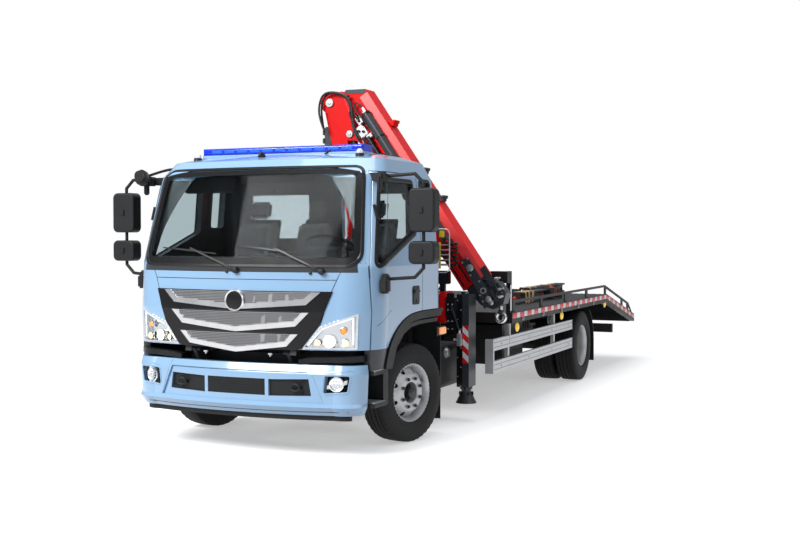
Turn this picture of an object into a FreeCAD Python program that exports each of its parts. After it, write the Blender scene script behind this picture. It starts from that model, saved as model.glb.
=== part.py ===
import FreeCAD, Part
import math
import os

V = FreeCAD.Vector

# Driving dimensions, in millimetres and degrees. X is across the truck, Y runs back from
# the front axle and Z up from the ground. The export moves Y to the middle of the length.
wheelbase = 4400.0
tyre_diameter = 797.0
tyre_width = 235.0
rim_diameter = 444.5
rim_width = 171.0
front_wheel_x = 920.0
rear_wheel_x = 1140.0
dual_spacing = 262.0
kingpin_x = 820.0
park_steer = 15.0

cab_half_width = 1070.0
cab_front = 1080.0
cab_back = 470.0
cab_bottom = 660.0
cab_face_bottom = 815.0
cab_side_bottom = 1060.0
cab_belt = 1430.0
screen_top = 2130.0
roof_edge = 2260.0
roof_top = 2315.0
cab_wall = 60.0
cab_floor = 1130.0
tilt_y = -1000.0
tilt_z = 785.0
door_front = -840.0
door_back = 30.0
hinge_x = 1000.0
hinge_y = -800.0
mirror_x = 1350.0
mirror_y = -620.0

bumper_front = 1130.0
bumper_top = 705.0
bumper_bottom = 330.0

rail_half_width = 430.0
rail_height = 210.0
rail_top = 765.0
rail_front = -860.0
rail_behind = 1360.0
plate = 8.0

bed_half_width = 1280.0
bed_front = 1710.0
knee_behind = 1050.0
rear_overhang = 2610.0
bed_top = 940.0
bed_tail_top = 600.0
bed_depth = 100.0
post_top = 1330.0

crane_y = 1385.0
boom_width = 200.0
slew_x = -100.0
base_bottom = 890.0
base_top = 1150.0
heel_x, heel_z = -160.0, 1860.0
knuckle_x, knuckle_z = -410.0, 2930.0
boom_slope = 55.5
boom_length = 2230.0
leg_x = 1035.0
leg_y = 1140.0
pad_clearance = 160.0

run_gap = 6.0
seat = 0.3
over = 20.0
pin_fit = 0.05

axle_z = tyre_diameter / 2
tyre_radius = tyre_diameter / 2
rim_radius = rim_diameter / 2
rail_bottom = rail_top - rail_height
bed_bottom = bed_top - bed_depth
rail_back = wheelbase + rail_behind
bracket_low, bracket_high = 600.0, 660.0
bed_knee = wheelbase + knee_behind
bed_back = wheelbase + rear_overhang
middle = (bed_back - bumper_front) / 2
nodes = {}


# Shapes that every piece is made of
def block(x, y, z):
    return Part.makeBox(x[1] - x[0], y[1] - y[0], z[1] - z[0], V(x[0], y[0], z[0]))


def about(centre, width):
    return (centre - width / 2, centre + width / 2)


def join(shapes):
    shapes = list(shapes)
    if len(shapes) == 1:
        return shapes[0]
    return shapes[0].multiFuse(shapes[1:]).removeSplitter()


def flip(shape):
    return shape.mirror(V(0, 0, 0), V(1, 0, 0))


def pair(shape):
    return join([shape, flip(shape)])


def rod(start, end, radius):
    along = V(*end) - V(*start)
    return Part.makeCylinder(radius, along.Length, V(*start), along)


def pipe(points, radius):
    lengths = [rod(a, b, radius) for a, b in zip(points, points[1:])]
    return join(lengths + [Part.makeSphere(radius, V(*p)) for p in points[1:-1]])


def prism(corners, along):
    corners = [V(*c) for c in corners]
    return Part.Face(Part.makePolygon(corners + corners[:1])).extrude(V(*along))


def prism_x(outline, x):
    return prism([(x[0], y, z) for y, z in outline], (x[1] - x[0], 0, 0))


def prism_y(outline, y):
    return prism([(x, y[0], z) for x, z in outline], (0, y[1] - y[0], 0))


def prism_z(outline, z):
    return prism([(x, y, z[0]) for x, y in outline], (0, 0, z[1] - z[0]))


def smooth_prism_x(points, closing, x):
    spline = Part.BSplineCurve()
    spline.interpolate([V(x[0], y, z) for y, z in points])
    ends = [V(x[0], *points[-1])] + [V(x[0], *c) for c in closing] + [V(x[0], *points[0])]
    wire = Part.Wire([spline.toShape()] + Part.makePolygon(ends).Edges)
    return Part.Face(wire).extrude(V(x[1] - x[0], 0, 0))


def turned(profile, x):
    corners = [V(x + a, 0, axle_z + r) for a, r in profile]
    face = Part.Face(Part.makePolygon(corners + corners[:1]))
    return face.revolve(V(x, 0, axle_z), V(1, 0, 0), 360)


def softened(shape, radius, keep):
    return shape.makeFillet(radius, [e for e in shape.Edges if keep(e)])


def along_axis(axis):
    def keep(edge):
        ends = [v.Point for v in edge.Vertexes]
        if len(ends) < 2:
            return False
        run = ends[1] - ends[0]
        return abs(abs(run.dot(axis)) - run.Length) < pin_fit
    return keep


upright = along_axis(V(0, 0, 1))
crosswise = along_axis(V(1, 0, 0))
lengthwise = along_axis(V(0, 1, 0))


# Wheels: a tyre on a disc wheel with its hub and drum. Each twin pair turns as one.
tread_shares = [(-0.72, 0), (-0.72, 0.085),
                (-0.9, 0.22), (-1, 0.44), (-1, 0.7), (-0.94, 0.87), (-0.82, 1), (0.82, 1),
                (0.94, 0.87), (1, 0.7), (1, 0.44), (0.9, 0.22), (0.72, 0.085), (0.72, 0)]
stud_count = 8
hole_share = 0.77
hand_hole = 26.0
flange = 13.0
barrel = 12.0
drum_radius = 165.0
spindle = 32.0


def tyre(x):
    foot = rim_radius + seat
    profile = [(a * tyre_width / 2, foot + r * (tyre_radius - foot)) for a, r in tread_shares]
    return turned(profile, x)


def rim(x, side, face_depth, cone_depth, middle_radius):
    half = rim_width / 2
    edge = half + barrel
    inner = rim_radius - barrel
    ring = turned([(-edge, rim_radius + flange), (-half, rim_radius + flange), (-half, rim_radius),
                   (half, rim_radius), (half, rim_radius + flange), (edge, rim_radius + flange),
                   (edge, inner), (-edge, inner)], x)
    face = side * (edge - face_depth)
    back = face - side * barrel
    dish = turned([(face, 0), (face, middle_radius), (face - side * cone_depth, inner),
                   (back - side * cone_depth, inner), (back, middle_radius), (back, 0)], x)
    hole = rod((x - tyre_width, 0, axle_z + hole_share * rim_radius),
               (x + tyre_width, 0, axle_z + hole_share * rim_radius), hand_hole)
    for number in range(stud_count):
        turn = hole.copy()
        turn.rotate(V(x, 0, axle_z), V(1, 0, 0), 360 * number / stud_count)
        dish = dish.cut(turn)
    return join([ring, dish])


def front_wheel():
    face_depth, cone_depth, bolt_ring = 24.0, 30.0, 165.0
    hub_radius, hub_length, drum_width = 72.0, 42.0, 98.0
    disc = rim(front_wheel_x, 1, face_depth, cone_depth, bolt_ring)
    face = front_wheel_x + rim_width / 2 + barrel - face_depth
    hub = rod((face - barrel, 0, axle_z), (face + hub_length, 0, axle_z), hub_radius)
    drum = rod((face - barrel - drum_width, 0, axle_z), (face - barrel, 0, axle_z), drum_radius)
    bore = rod((kingpin_x, 0, axle_z), (face - barrel, 0, axle_z), spindle + pin_fit)
    return tyre(front_wheel_x), join([disc, hub, drum]).cut(bore), face - barrel - drum_width


def rear_wheel():
    bolt_ring, hub_radius, hub_length, drum_width, tube = 150.0, 92.0, 150.0, 190.0, 62.0
    inner_x = rear_wheel_x - dual_spacing
    mate = rear_wheel_x - dual_spacing / 2
    edge = rim_width / 2 + barrel
    cone = dual_spacing / 2 - edge + 2 * barrel
    outer = rim(rear_wheel_x, 1, edge + dual_spacing / 2 - barrel, -cone, bolt_ring)
    inner = rim(inner_x, 1, edge - dual_spacing / 2, cone, bolt_ring)
    hub = rod((mate, 0, axle_z), (mate + hub_length, 0, axle_z), hub_radius)
    drum = rod((mate - drum_width, 0, axle_z), (mate, 0, axle_z), drum_radius)
    bore = rod((0, 0, axle_z), (mate - drum_width / 2, 0, axle_z), tube + pin_fit)
    wheel = join([outer, inner, hub, drum]).cut(bore)
    tyres = join([tyre(rear_wheel_x), tyre(inner_x)])
    for shape in (wheel, tyres):
        shape.translate(V(0, wheelbase, 0))
    return tyres, wheel, tube, mate - drum_width / 2


# Steering knuckles: kingpin boss, spindle, backing plate and arm, parked turned
def knuckle(drum_face):
    boss, boss_height, arm_width, arm_back, arm_in = 36.0, 170.0, 34.0, 190.0, 40.0
    post = rod((kingpin_x, 0, axle_z - boss_height / 2), (kingpin_x, 0, axle_z + boss_height / 2),
               boss)
    stub = rod((kingpin_x, 0, axle_z), (drum_face + spindle, 0, axle_z), spindle)
    shield = rod((drum_face - run_gap - barrel, 0, axle_z), (drum_face - run_gap, 0, axle_z),
                 drum_radius)
    arm = prism_z([(kingpin_x, boss / 2), (kingpin_x + boss / 2, boss / 2),
                   (kingpin_x - arm_in + arm_width, arm_back), (kingpin_x - arm_in, arm_back)],
                  about(axle_z, arm_width))
    hole = rod((kingpin_x, 0, 0), (kingpin_x, 0, 2 * axle_z), boss / 2 + pin_fit)
    return join([post, stub, shield, arm]).cut(hole), boss, boss_height


front_tyre, front_rim, drum_face = front_wheel()
front_knuckle, boss, boss_height = knuckle(drum_face)
rear_tyres, rear_rims, axle_tube, tube_end = rear_wheel()
for name, shape in (("tyre_front", front_tyre), ("rim_front", front_rim),
                    ("knuckle", front_knuckle)):
    for side, turned_shape in (("left", shape), ("right", flip(shape))):
        pivot = kingpin_x if side == "left" else -kingpin_x
        turned_shape = turned_shape.copy()
        turned_shape.rotate(V(pivot, 0, 0), V(0, 0, 1), -park_steer)
        nodes[name + "_" + side] = turned_shape
for name, shape in (("tyres_rear", rear_tyres), ("rims_rear", rear_rims)):
    nodes[name + "_left"] = shape
    nodes[name + "_right"] = flip(shape)


# Axles: a dropped front beam with forked ends, a rear tube with its final drive, springs
def axles():
    beam_deep, beam_wide, beam_drop, lug = 80.0, 72.0, 28.0, 40.0
    fork = boss_height / 2 + seat
    inboard = kingpin_x - boss - run_gap
    bend_share = 0.72
    low = axle_z - beam_drop - beam_deep
    beam = block((-inboard * bend_share, inboard * bend_share), about(0, beam_wide),
                 (low, low + beam_deep))
    slope = pair(prism_y([(inboard * bend_share, low), (inboard, axle_z - fork - lug),
                          (inboard, axle_z + fork + lug), (inboard - lug, axle_z + fork + lug),
                          (inboard * bend_share, low + beam_deep)], about(0, beam_wide / 2)))
    lugs = []
    for z in (axle_z + fork, axle_z - fork - lug):
        lugs.append(block((inboard - lug, kingpin_x), about(0, 2 * boss), (z, z + lug)))
        lugs.append(rod((kingpin_x, 0, z), (kingpin_x, 0, z + lug), boss))
    pin = rod((kingpin_x, 0, axle_z - fork - lug), (kingpin_x, 0, axle_z + fork + lug), boss / 2)
    front = join([beam, slope, pair(join(lugs + [pin]))])

    drive_radius, drive_nose, nose_radius = 185.0, 330.0, 95.0
    tube = rod((-tube_end, wheelbase, axle_z), (tube_end, wheelbase, axle_z), axle_tube)
    drum, cover_share = 0.4 * drive_radius, 0.6
    drive = rod((0, wheelbase - drum, axle_z), (0, wheelbase + drum, axle_z), drive_radius)
    for side in (1, -1):
        drive = drive.fuse(Part.makeCone(drive_radius, cover_share * drive_radius, drum,
                                         V(0, wheelbase + side * drum, axle_z), V(0, side, 0)))
    nose = rod((0, wheelbase - drive_nose, axle_z), (0, wheelbase, axle_z), nose_radius)
    rear = join([tube, drive, nose])
    return front, rear, low + beam_deep


front_axle, rear_axle, beam_top = axles()
spring_x, spring_wide, spring_thick, eye = 395.0, 65.0, 42.0, 26.0


def spring(y, reach, base, top):
    tip_share = 0.35
    outline = [(y - reach, top - eye / 2), (y - reach * tip_share, base), (y + reach * tip_share, base),
               (y + reach, top - eye / 2), (y + reach, top + eye / 2),
               (y + reach * tip_share, base + spring_thick), (y - reach * tip_share, base + spring_thick),
               (y - reach, top + eye / 2)]
    leaf = prism_x(outline, about(spring_x, spring_wide))
    hangers = [prism_x([(end - eye, top - eye), (end + eye, top - eye), (end + 2 * eye, rail_bottom - seat),
                        (end - 2 * eye, rail_bottom - seat)], about(spring_x, spring_wide))
               for end in (y - reach, y + reach)]
    return pair(join([leaf] + hangers))


spring_rise = 62.0
front_springs = spring(0, 600.0, beam_top + seat, beam_top + spring_rise)
rear_springs = spring(wheelbase, 680.0, axle_z + axle_tube + seat, axle_z + axle_tube + spring_rise)
nodes["front_axle"] = join([front_axle, front_springs])
nodes["rear_axle"] = join([rear_axle, rear_springs])


# Engine and gearbox as one plain block with its mounts on the rails, and the drive shaft
def engine():
    half, front, back, low, high = 300.0, -560.0, 560.0, 430.0, 1000.0
    box_half, box_back, box_low, box_high, mount = 170.0, 1050.0, 470.0, 760.0, 45.0
    body = block((-half, half), (front, back), (low, high))
    gearbox = block((-box_half, box_half), (back, box_back), (box_low, box_high))
    arms = pair(block((half, rail_half_width), about(-mount, 2 * mount), (rail_top + seat, rail_top + mount)))
    shaft_radius, joint_z, nose_reach = 45.0, 600.0, 335.0
    shaft = rod((0, box_back + seat, joint_z), (0, wheelbase - nose_reach, axle_z), shaft_radius)
    return join([body, gearbox, arms, shaft])


nodes["engine"] = engine()


ear = 30.0


# Chassis: two C rails, cross members, tilt brackets for the cab and rear cab posts
def chassis():
    lip = 70.0
    x, z = rail_half_width, rail_top
    outline = [(x, z), (x - lip, z), (x - lip, z - plate), (x - plate, z - plate),
               (x - plate, rail_bottom + plate), (x - lip, rail_bottom + plate),
               (x - lip, rail_bottom), (x, rail_bottom)]
    pieces = [pair(prism_y(outline, (rail_front, rail_back)))]
    member = 90.0
    bay_shares = (0.32, 0.53, 0.66, 0.92)
    bays = [rail_front + share * (rail_back - rail_front) for share in bay_shares]
    for y in [rail_front + member] + bays + [rail_back - member]:
        pieces.append(block((-x + plate, x - plate), about(y, member),
                            (rail_top - plate - member, rail_top - plate)))
    bracket = prism_x([(rail_front, rail_bottom), (rail_front + ear, rail_top),
                       (rail_front, rail_top + ear), (tilt_y, tilt_z + ear), (tilt_y - ear, tilt_z),
                       (tilt_y, tilt_z - ear), (rail_front - ear, rail_bottom)], (x - ear, x))
    pin = rod((x - 2 * ear, tilt_y, tilt_z), (x + 2 * ear, tilt_y, tilt_z), ear / 2)
    pieces += [pair(bracket), pair(pin)]
    post_y, post_deep = 330.0, 60.0
    under_floor = cab_floor - cab_wall
    arch = block((-x, x), about(post_y, post_deep), (under_floor - post_deep, under_floor - seat))
    posts = pair(block((x - post_deep, x), about(post_y, post_deep), (rail_top - plate, under_floor - seat)))
    return join(pieces + [arch, posts])


nodes["chassis_frame"] = chassis()


# Cab body: plan sections from sill to roof, ruled together. Grow moves the skin outwards.
sections = [
    # height, front centre, corner start x and y, side start x and y, back y
    (cab_bottom, 1062.0, 800.0, 985.0, cab_half_width - 15, 640.0, cab_back),
    (1100.0, cab_front, 800.0, 990.0, cab_half_width, 640.0, cab_back),
    (cab_belt, 1062.0, 810.0, 955.0, cab_half_width, 630.0, cab_back),
    (screen_top, 800.0, 850.0, 720.0, 1010.0, 480.0, cab_back - 25),
    (roof_edge, 670.0, 780.0, 600.0, 950.0, 370.0, cab_back - 70),
    (roof_top, 430.0, 600.0, 350.0, 800.0, 150.0, cab_back - 200),
]
corner_share = 0.72
back_corner = 110.0


def cab_section(row, grow):
    z, front, cx, cy, sx, sy, back = row
    front, cx, cy, sx, back = front + grow, cx, cy + grow, sx + grow, back + grow
    corner = back_corner
    bow = corner * (1 - math.sqrt(0.5))
    mx, my = cx + (sx - cx) * corner_share, -(cy + (sy - cy) * (1 - corner_share))
    left = [V(cx, -cy, z), V(sx, -sy, z), V(sx, back - corner, z), V(sx - corner, back, z)]
    right = [V(-p.x, p.y, z) for p in reversed(left)]
    arc = Part.Arc
    edges = [
        arc(V(-cx, -cy, z), V(0, -front, z), V(cx, -cy, z)),
        arc(left[0], V(mx, my, z), left[1]),
        Part.LineSegment(left[1], left[2]),
        arc(left[2], V(sx - bow, back - bow, z), left[3]),
        Part.LineSegment(left[3], right[0]),
        arc(right[0], V(-sx + bow, back - bow, z), right[1]),
        Part.LineSegment(right[1], right[2]),
        arc(right[2], V(-mx, my, z), right[3]),
    ]
    return Part.Wire([e.toShape() for e in edges])


def cab_body(grow):
    rows = [list(r) for r in sections]
    rows[0][0] = cab_bottom - max(-grow, 0)
    rows[-1][0] = roof_top + grow
    rows[-2][0] = roof_edge + grow
    return Part.makeLoft([cab_section(r, grow) for r in rows], True, True)


arch_shares = [(-1, 0), (-0.84, 0.5), (-0.57, 0.825), (-0.3, 0.96), (0, 1), (0.35, 1), (0.7, 1)]
arch_reach = 700.0
arch_base = 600.0


def arch_curve(share, lift=0):
    rise = cab_side_bottom - cab_bottom
    return [(y * arch_reach * share, arch_base + (cab_bottom - arch_base + z * rise) * share + lift)
            for y, z in arch_shares]


def band(outer, inner, x):
    return smooth_prism_x(arch_curve(outer), arch_curve(inner)[::-1], x)


skin = cab_body(0)
inside_skin = cab_body(-cab_wall)
whole_width = (-cab_half_width - over, cab_half_width + over)
hollow = inside_skin.common(block(whole_width, (-cab_front, cab_back), (cab_floor, roof_top)))
under = inside_skin.common(block(whole_width, (-cab_front, cab_back), (0, cab_floor - cab_wall)))
arch_cut = smooth_prism_x(arch_curve(1), [(cab_back + over, cab_side_bottom), (cab_back + over, 0),
                                          (-arch_reach, 0)], whole_width)
nose_cut = block(whole_width, (-cab_front - over, door_front - run_gap), (cab_bottom - over, cab_face_bottom))
shell = skin.cut(hollow).cut(under).cut(arch_cut).cut(nose_cut)


pillar, door_top = 35.0, 2150.0
before_cab = -cab_front - 2 * cab_wall
pillar_foot, pillar_head = door_front - pillar / 2, door_front + 3 * cab_wall - pillar
forward = prism_x([(before_cab, 0), (pillar_foot, 0), (pillar_foot, cab_belt), (pillar_head, door_top),
                   (pillar_head, roof_top), (before_cab, roof_top)], whole_width)


def slab(outline):
    return prism_y(outline, (before_cab, 0)).common(forward)


def mirrored_outline(half):
    return half + [(-x, z) for x, z in reversed(half)]


screen_low, screen_high, screen_wide, screen_narrow = 1447.0, 2183.0, 958.0, 884.0
screen_round, screen_round_top = 105.0, 62.0
screen_outline = mirrored_outline([(screen_wide, screen_low), (screen_narrow, screen_high)])
lamp_outline = [(548.0, 822.0), (684.0, 992.0), (960.0, 1085.0), (950.0, 822.0)]
side_window = [(-792.0, 1432.0), (-62.0, 1690.0), (-62.0, 2085.0), (-600.0, 2085.0), (-642.0, 2010.0)]
quarter_window = [(95.0, 1730.0), (300.0, 1730.0), (300.0, 2105.0), (95.0, 2105.0)]
back_window = [(160.0, 1640.0), (760.0, 1640.0), (760.0, 2020.0), (160.0, 2020.0)]
door_outline = [(door_front, cab_bottom - over), (door_front, cab_belt),
                (door_front + 3 * cab_wall, door_top), (door_back, door_top), (door_back, cab_bottom - over)]


def shrunk(outline, by):
    cx = sum(p[0] for p in outline) / len(outline)
    cz = sum(p[1] for p in outline) / len(outline)
    return [(x - by * (1 if x > cx else -1), z - by * (1 if z > cz else -1)) for x, z in outline]


def skin_piece(zone, outer, inner):
    return cab_body(outer).cut(cab_body(inner)).common(zone)


def screen_zone(outline):
    zone = prism_y(outline, (before_cab, 0))
    zone = softened(zone, screen_round, lambda e: lengthwise(e) and e.BoundBox.ZMax < cab_belt + 2 * over)
    zone = softened(zone, screen_round_top, lambda e: lengthwise(e) and e.BoundBox.ZMin > screen_top)
    return zone.common(forward)


window_round = 34.0


def side_zone(outline, reach):
    return softened(prism_x(outline, (0, reach)), window_round, crosswise)


outside = cab_half_width + over
shell_cuts = [screen_zone(screen_outline), pair(slab(lamp_outline)),
              pair(prism_x(shrunk(door_outline, -run_gap), (0, outside))),
              pair(side_zone(quarter_window, outside)),
              pair(prism_y(back_window, (0, cab_back + over)))]
for piece in shell_cuts[:2] + shell_cuts[3:]:
    shell = shell.cut(piece)
shell = shell.cut(shell_cuts[2].cut(cab_body(-cab_wall - seat)))
door_sweep = 52.0
hinge_clear = 5.0
hinge_room = rod((hinge_x, hinge_y, 0), (hinge_x, hinge_y, cab_belt + over / 2), door_sweep + hinge_clear)
shell = shell.cut(pair(hinge_room))
lug_root = cab_face_bottom + over
lug = prism_x([(tilt_y - ear, tilt_z - ear / 2), (tilt_y + ear, tilt_z - ear / 2), (tilt_y + ear, lug_root),
               (tilt_y + over, cab_floor), (tilt_y - over, cab_floor), (tilt_y - over, lug_root)],
              (rail_half_width + run_gap, rail_half_width + 2 * ear))


def tilt_rod(start_x, end_x, radius):
    return rod((start_x, tilt_y, tilt_z), (end_x, tilt_y, tilt_z), radius)


lug_hole = tilt_rod(rail_half_width, rail_half_width + 3 * ear, ear / 2 + pin_fit)
room = tilt_rod(rail_half_width - ear - run_gap, rail_half_width + run_gap, ear + run_gap)
nodes["cab_shell"] = join([shell.cut(pair(room)), pair(lug)]).cut(pair(lug_hole))


# Doors hang on pins behind their front edge and carry their windows and the mirrors
hinge_pin, hinge_lug, hinge_eye = 7.0, 60.0, 11.0
hinge_heights = (1135.0, 1380.0)
arm_share, elbow_x, elbow_y, arm_end_y = 0.75, 56.0, 20.0, 78.0


def door():
    zone = prism_x(door_outline, (0, outside)).cut(arch_cut).cut(side_zone(side_window, outside))
    panel = skin_piece(zone, 0, -cab_wall)
    sweep = rod((hinge_x, hinge_y, 0), (hinge_x, hinge_y, cab_belt), door_sweep)
    panel = panel.cut(block((0, hinge_x), (door_front - over, hinge_y), (0, cab_belt)).cut(sweep))
    pins = []
    room_edge = hinge_eye + run_gap / 2
    for z in hinge_heights:
        panel = panel.cut(block((hinge_x - elbow_x - 2 * hinge_eye, hinge_x + room_edge),
                                (door_front - over, hinge_y + room_edge), about(z, hinge_lug)))
        pins.append(rod((hinge_x, hinge_y, z - hinge_lug), (hinge_x, hinge_y, z + hinge_lug), hinge_pin))
    return join([panel] + pins)


def hinge_lugs():
    lugs = []
    arm = arm_share * hinge_eye
    ex, ey = hinge_x - elbow_x, hinge_y - elbow_y
    for z in hinge_heights:
        low = z - hinge_lug / 2 + run_gap
        high = z + hinge_lug / 2 - run_gap
        eye_end = rod((hinge_x, hinge_y, low), (hinge_x, hinge_y, high), hinge_eye)
        inner = prism_z([(hinge_x, hinge_y + arm), (ex - arm, ey + arm), (ex - arm, ey - arm),
                         (hinge_x, hinge_y - arm)], (low, high))
        outer = prism_z([(ex - arm, ey + arm), (ex - arm, hinge_y - arm_end_y),
                         (ex + 2 * arm, hinge_y - arm_end_y), (ex + arm, ey + arm)], (low, high))
        hole = rod((hinge_x, hinge_y, low - over), (hinge_x, hinge_y, high + over), hinge_pin + pin_fit)
        lugs.append(join([eye_end, inner, outer]).common(cab_body(-seat)).cut(hole))
    return join(lugs)


nodes["cab_shell"] = join([nodes["cab_shell"], pair(hinge_lugs())])
left_door = door()
glass_out, glass_in = -14.0, -20.0
screen_out, screen_in = -2.0, -9.0
door_glass = skin_piece(side_zone(shrunk(side_window, seat), cab_half_width), glass_out, glass_in)
nodes["door_left"], nodes["door_right"] = left_door, flip(left_door)
nodes["door_glass_left"], nodes["door_glass_right"] = door_glass, flip(door_glass)
nodes["windscreen"] = skin_piece(screen_zone(shrunk(screen_outline, seat)), screen_out, screen_in)
quarter_zone = side_zone(shrunk(quarter_window, seat), cab_half_width)
side_panes = pair(skin_piece(quarter_zone, glass_out, glass_in))
back_panes = pair(prism_y(shrunk(back_window, seat), (0, cab_back)))
back_panes = back_panes.common(cab_body(glass_out).cut(cab_body(glass_in)))
nodes["cab_windows"] = join([side_panes, back_panes])


# Mirrors: a tube frame from two brackets on the door with a large and a small head
def mirror():
    tube, bracket, bend, foot_x = 13.0, 62.0, 70.0, 985.0
    top, low, foot_y, low_y = 2128.0, 1352.0, -650.0, -700.0
    head_wide, head_deep, head_round, edge_round, low_share = 212.0, 105.0, 44.0, 16.0, 1.4
    head_places = ((1855.0, 330.0), (1538.0, 172.0))
    frame = pipe([(foot_x, foot_y, top - over), (mirror_x - bend, mirror_y, top),
                  (mirror_x, mirror_y, top - bend), (mirror_x, mirror_y, low + bend),
                  (mirror_x - bend, mirror_y, low), (foot_x + over, low_y, low - over)], tube)
    feet = [block((foot_x - bracket, foot_x + bracket / 2), about(foot_y, bracket),
                  about(top - over, bracket)),
            block((foot_x, foot_x + bracket), about(low_y, bracket), about(low - over, low_share * bracket))]
    heads = []
    for z, tall in head_places:
        head = block(about(mirror_x, head_wide), about(mirror_y, head_deep), about(z, tall))
        head = softened(head, head_round, lengthwise)
        front_face = mirror_y - head_deep / 2 + pin_fit
        heads.append(softened(head, edge_round, lambda e: e.BoundBox.YMax < front_face))
    whole = join([frame] + feet + heads)
    return whole.cut(cab_body(seat))


nodes["mirror_left"] = mirror()
nodes["mirror_right"] = flip(nodes["mirror_left"])


# Front of the cab: black grille panel, silver bars, lamps and arch lips
def bar_outline(ends, drops):
    top_out, top_in, corner_out, corner_in = ends
    top, corner_low, corner_high, middle_low, middle_high = drops
    right = [(top_in, top), (top_out, top), (corner_out, corner_low), (0, middle_low)]
    left = [(-corner_out, corner_low), (-top_out, top), (-top_in, top), (-corner_in, corner_high)]
    return right + left + [(0, middle_high), (corner_in, corner_high)]


def front_trim():
    panel_low, panel_out, bar_out, badge_z, badge_radius = 786.0, 10.0, 19.0, 1176.0, 84.0
    panel_half = [(490.0, 812.0), (540.0, 822.0), (678.0, 996.0), (775.0, 1250.0)]
    bar_rows = (((690.0, 628.0, 582.0, 560.0), (1245.0, 1150.0, 1183.0, 1109.0, 1139.0)),
                ((605.0, 553.0, 500.0, 488.0), (1093.0, 990.0, 1025.0, 941.0, 974.0)),
                ((518.0, 464.0, 427.0, 415.0), (931.0, 838.0, 871.0, panel_low, 818.0)))
    panel = skin_piece(slab(mirrored_outline(panel_half)), panel_out, seat)
    bars = [skin_piece(slab(bar_outline(ends, drops)), bar_out, panel_out + seat) for ends, drops in bar_rows]
    badge = rod((0, -cab_front - cab_wall, badge_z), (0, -cab_front, badge_z), badge_radius)
    badge = badge.cut(cab_body(panel_out + seat)).common(cab_body(bar_out + run_gap))
    return panel, join(bars + [badge])


nodes["grille_panel"], nodes["grille_bars"] = front_trim()
lens_out, bowl_out, bowl_in, bowl_wall = 9.0, 3.0, -60.0, 14.0
lamp_zone = slab(shrunk(lamp_outline, seat))
bucket = skin_piece(lamp_zone, bowl_out, bowl_in)
bucket = bucket.cut(skin_piece(slab(shrunk(lamp_outline, bowl_wall)), over, bowl_in + bowl_wall))
nodes["headlamp_bowls"] = pair(bucket)
nodes["headlamp_lenses"] = pair(skin_piece(lamp_zone, lens_out, bowl_out + seat))


# Cab inside: dashboard, seats and wheel stand on the floor
def inside():
    floor = cab_floor + seat
    dash_half = 905.0
    dash_outline = [(-930.0, 1330.0), (-930.0, 1480.0), (-760.0, 1500.0), (-600.0, 1420.0), (-640.0, 1300.0),
                    (-700.0, floor), (-900.0, floor)]
    dash = prism_x(dash_outline, (-dash_half, dash_half))
    dash = dash.common(cab_body(-cab_wall - seat)).cut(pair(hinge_room))

    seat_places = ((-560.0, 500.0), (0.0, 380.0), (560.0, 500.0))
    base_y, base_high, base_share = (-260.0, 120.0), 150.0, 0.8
    cushion_y, cushion_high, cushion_round = (-330.0, 160.0), 140.0, 45.0
    back_foot_y, back_top_y, back_high, back_share = (80.0, 200.0), (240.0, 340.0), 560.0, 0.95
    head_y, head_high, head_share = (250.0, 340.0), 130.0, 0.5
    cushion_low = floor + base_high
    cushion_top = cushion_low + cushion_high
    back_top = cushion_top + back_high
    back_outline = [(back_foot_y[0], cushion_top), (back_foot_y[1], cushion_top), (back_top_y[1], back_top),
                    (back_top_y[0], back_top)]
    seats = []
    for x, wide in seat_places:
        base = block(about(x, base_share * wide), base_y, (floor, cushion_low))
        cushion = softened(block(about(x, wide), cushion_y, (cushion_low, cushion_top)), cushion_round,
                           lengthwise)
        back = prism_x(back_outline, about(x, back_share * wide))
        head = block(about(x, head_share * wide), head_y,
                     (back_top, min(back_top + head_high, roof_edge - 2 * cab_wall)))
        seats.append(join([base, cushion, back, head]))

    wheel_x, wheel_y, wheel_z, wheel_radius, grip = 520.0, -470.0, 1560.0, 215.0, 14.0
    lean_share, column_high = 0.55, 300.0
    ring = Part.makeTorus(wheel_radius, grip, V(wheel_x, wheel_y, wheel_z), V(0, lean_share, 1))
    run = wheel_radius / math.hypot(1, lean_share)
    spokes = [rod((wheel_x + a * wheel_radius, wheel_y + b * run, wheel_z - b * lean_share * run),
                  (wheel_x, wheel_y, wheel_z), grip) for a, b in ((1, 0), (-1, 0), (0, 1))]
    column = rod((wheel_x, wheel_y, wheel_z),
                 (wheel_x, wheel_y - lean_share * column_high, wheel_z - column_high), 2 * grip)
    return dash, join(seats), join([ring] + spokes + [column]).cut(dash)


nodes["dashboard"], nodes["seats"], nodes["steering_wheel"] = inside()


# Roof: light bar on its mount, marker lamps; wipers on the screen
def surface_y(x, z, grow=0):
    return Part.makeLine(V(x, -2 * cab_front, z), V(x, 0, z)).common(cab_body(grow)).BoundBox.YMin


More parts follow.
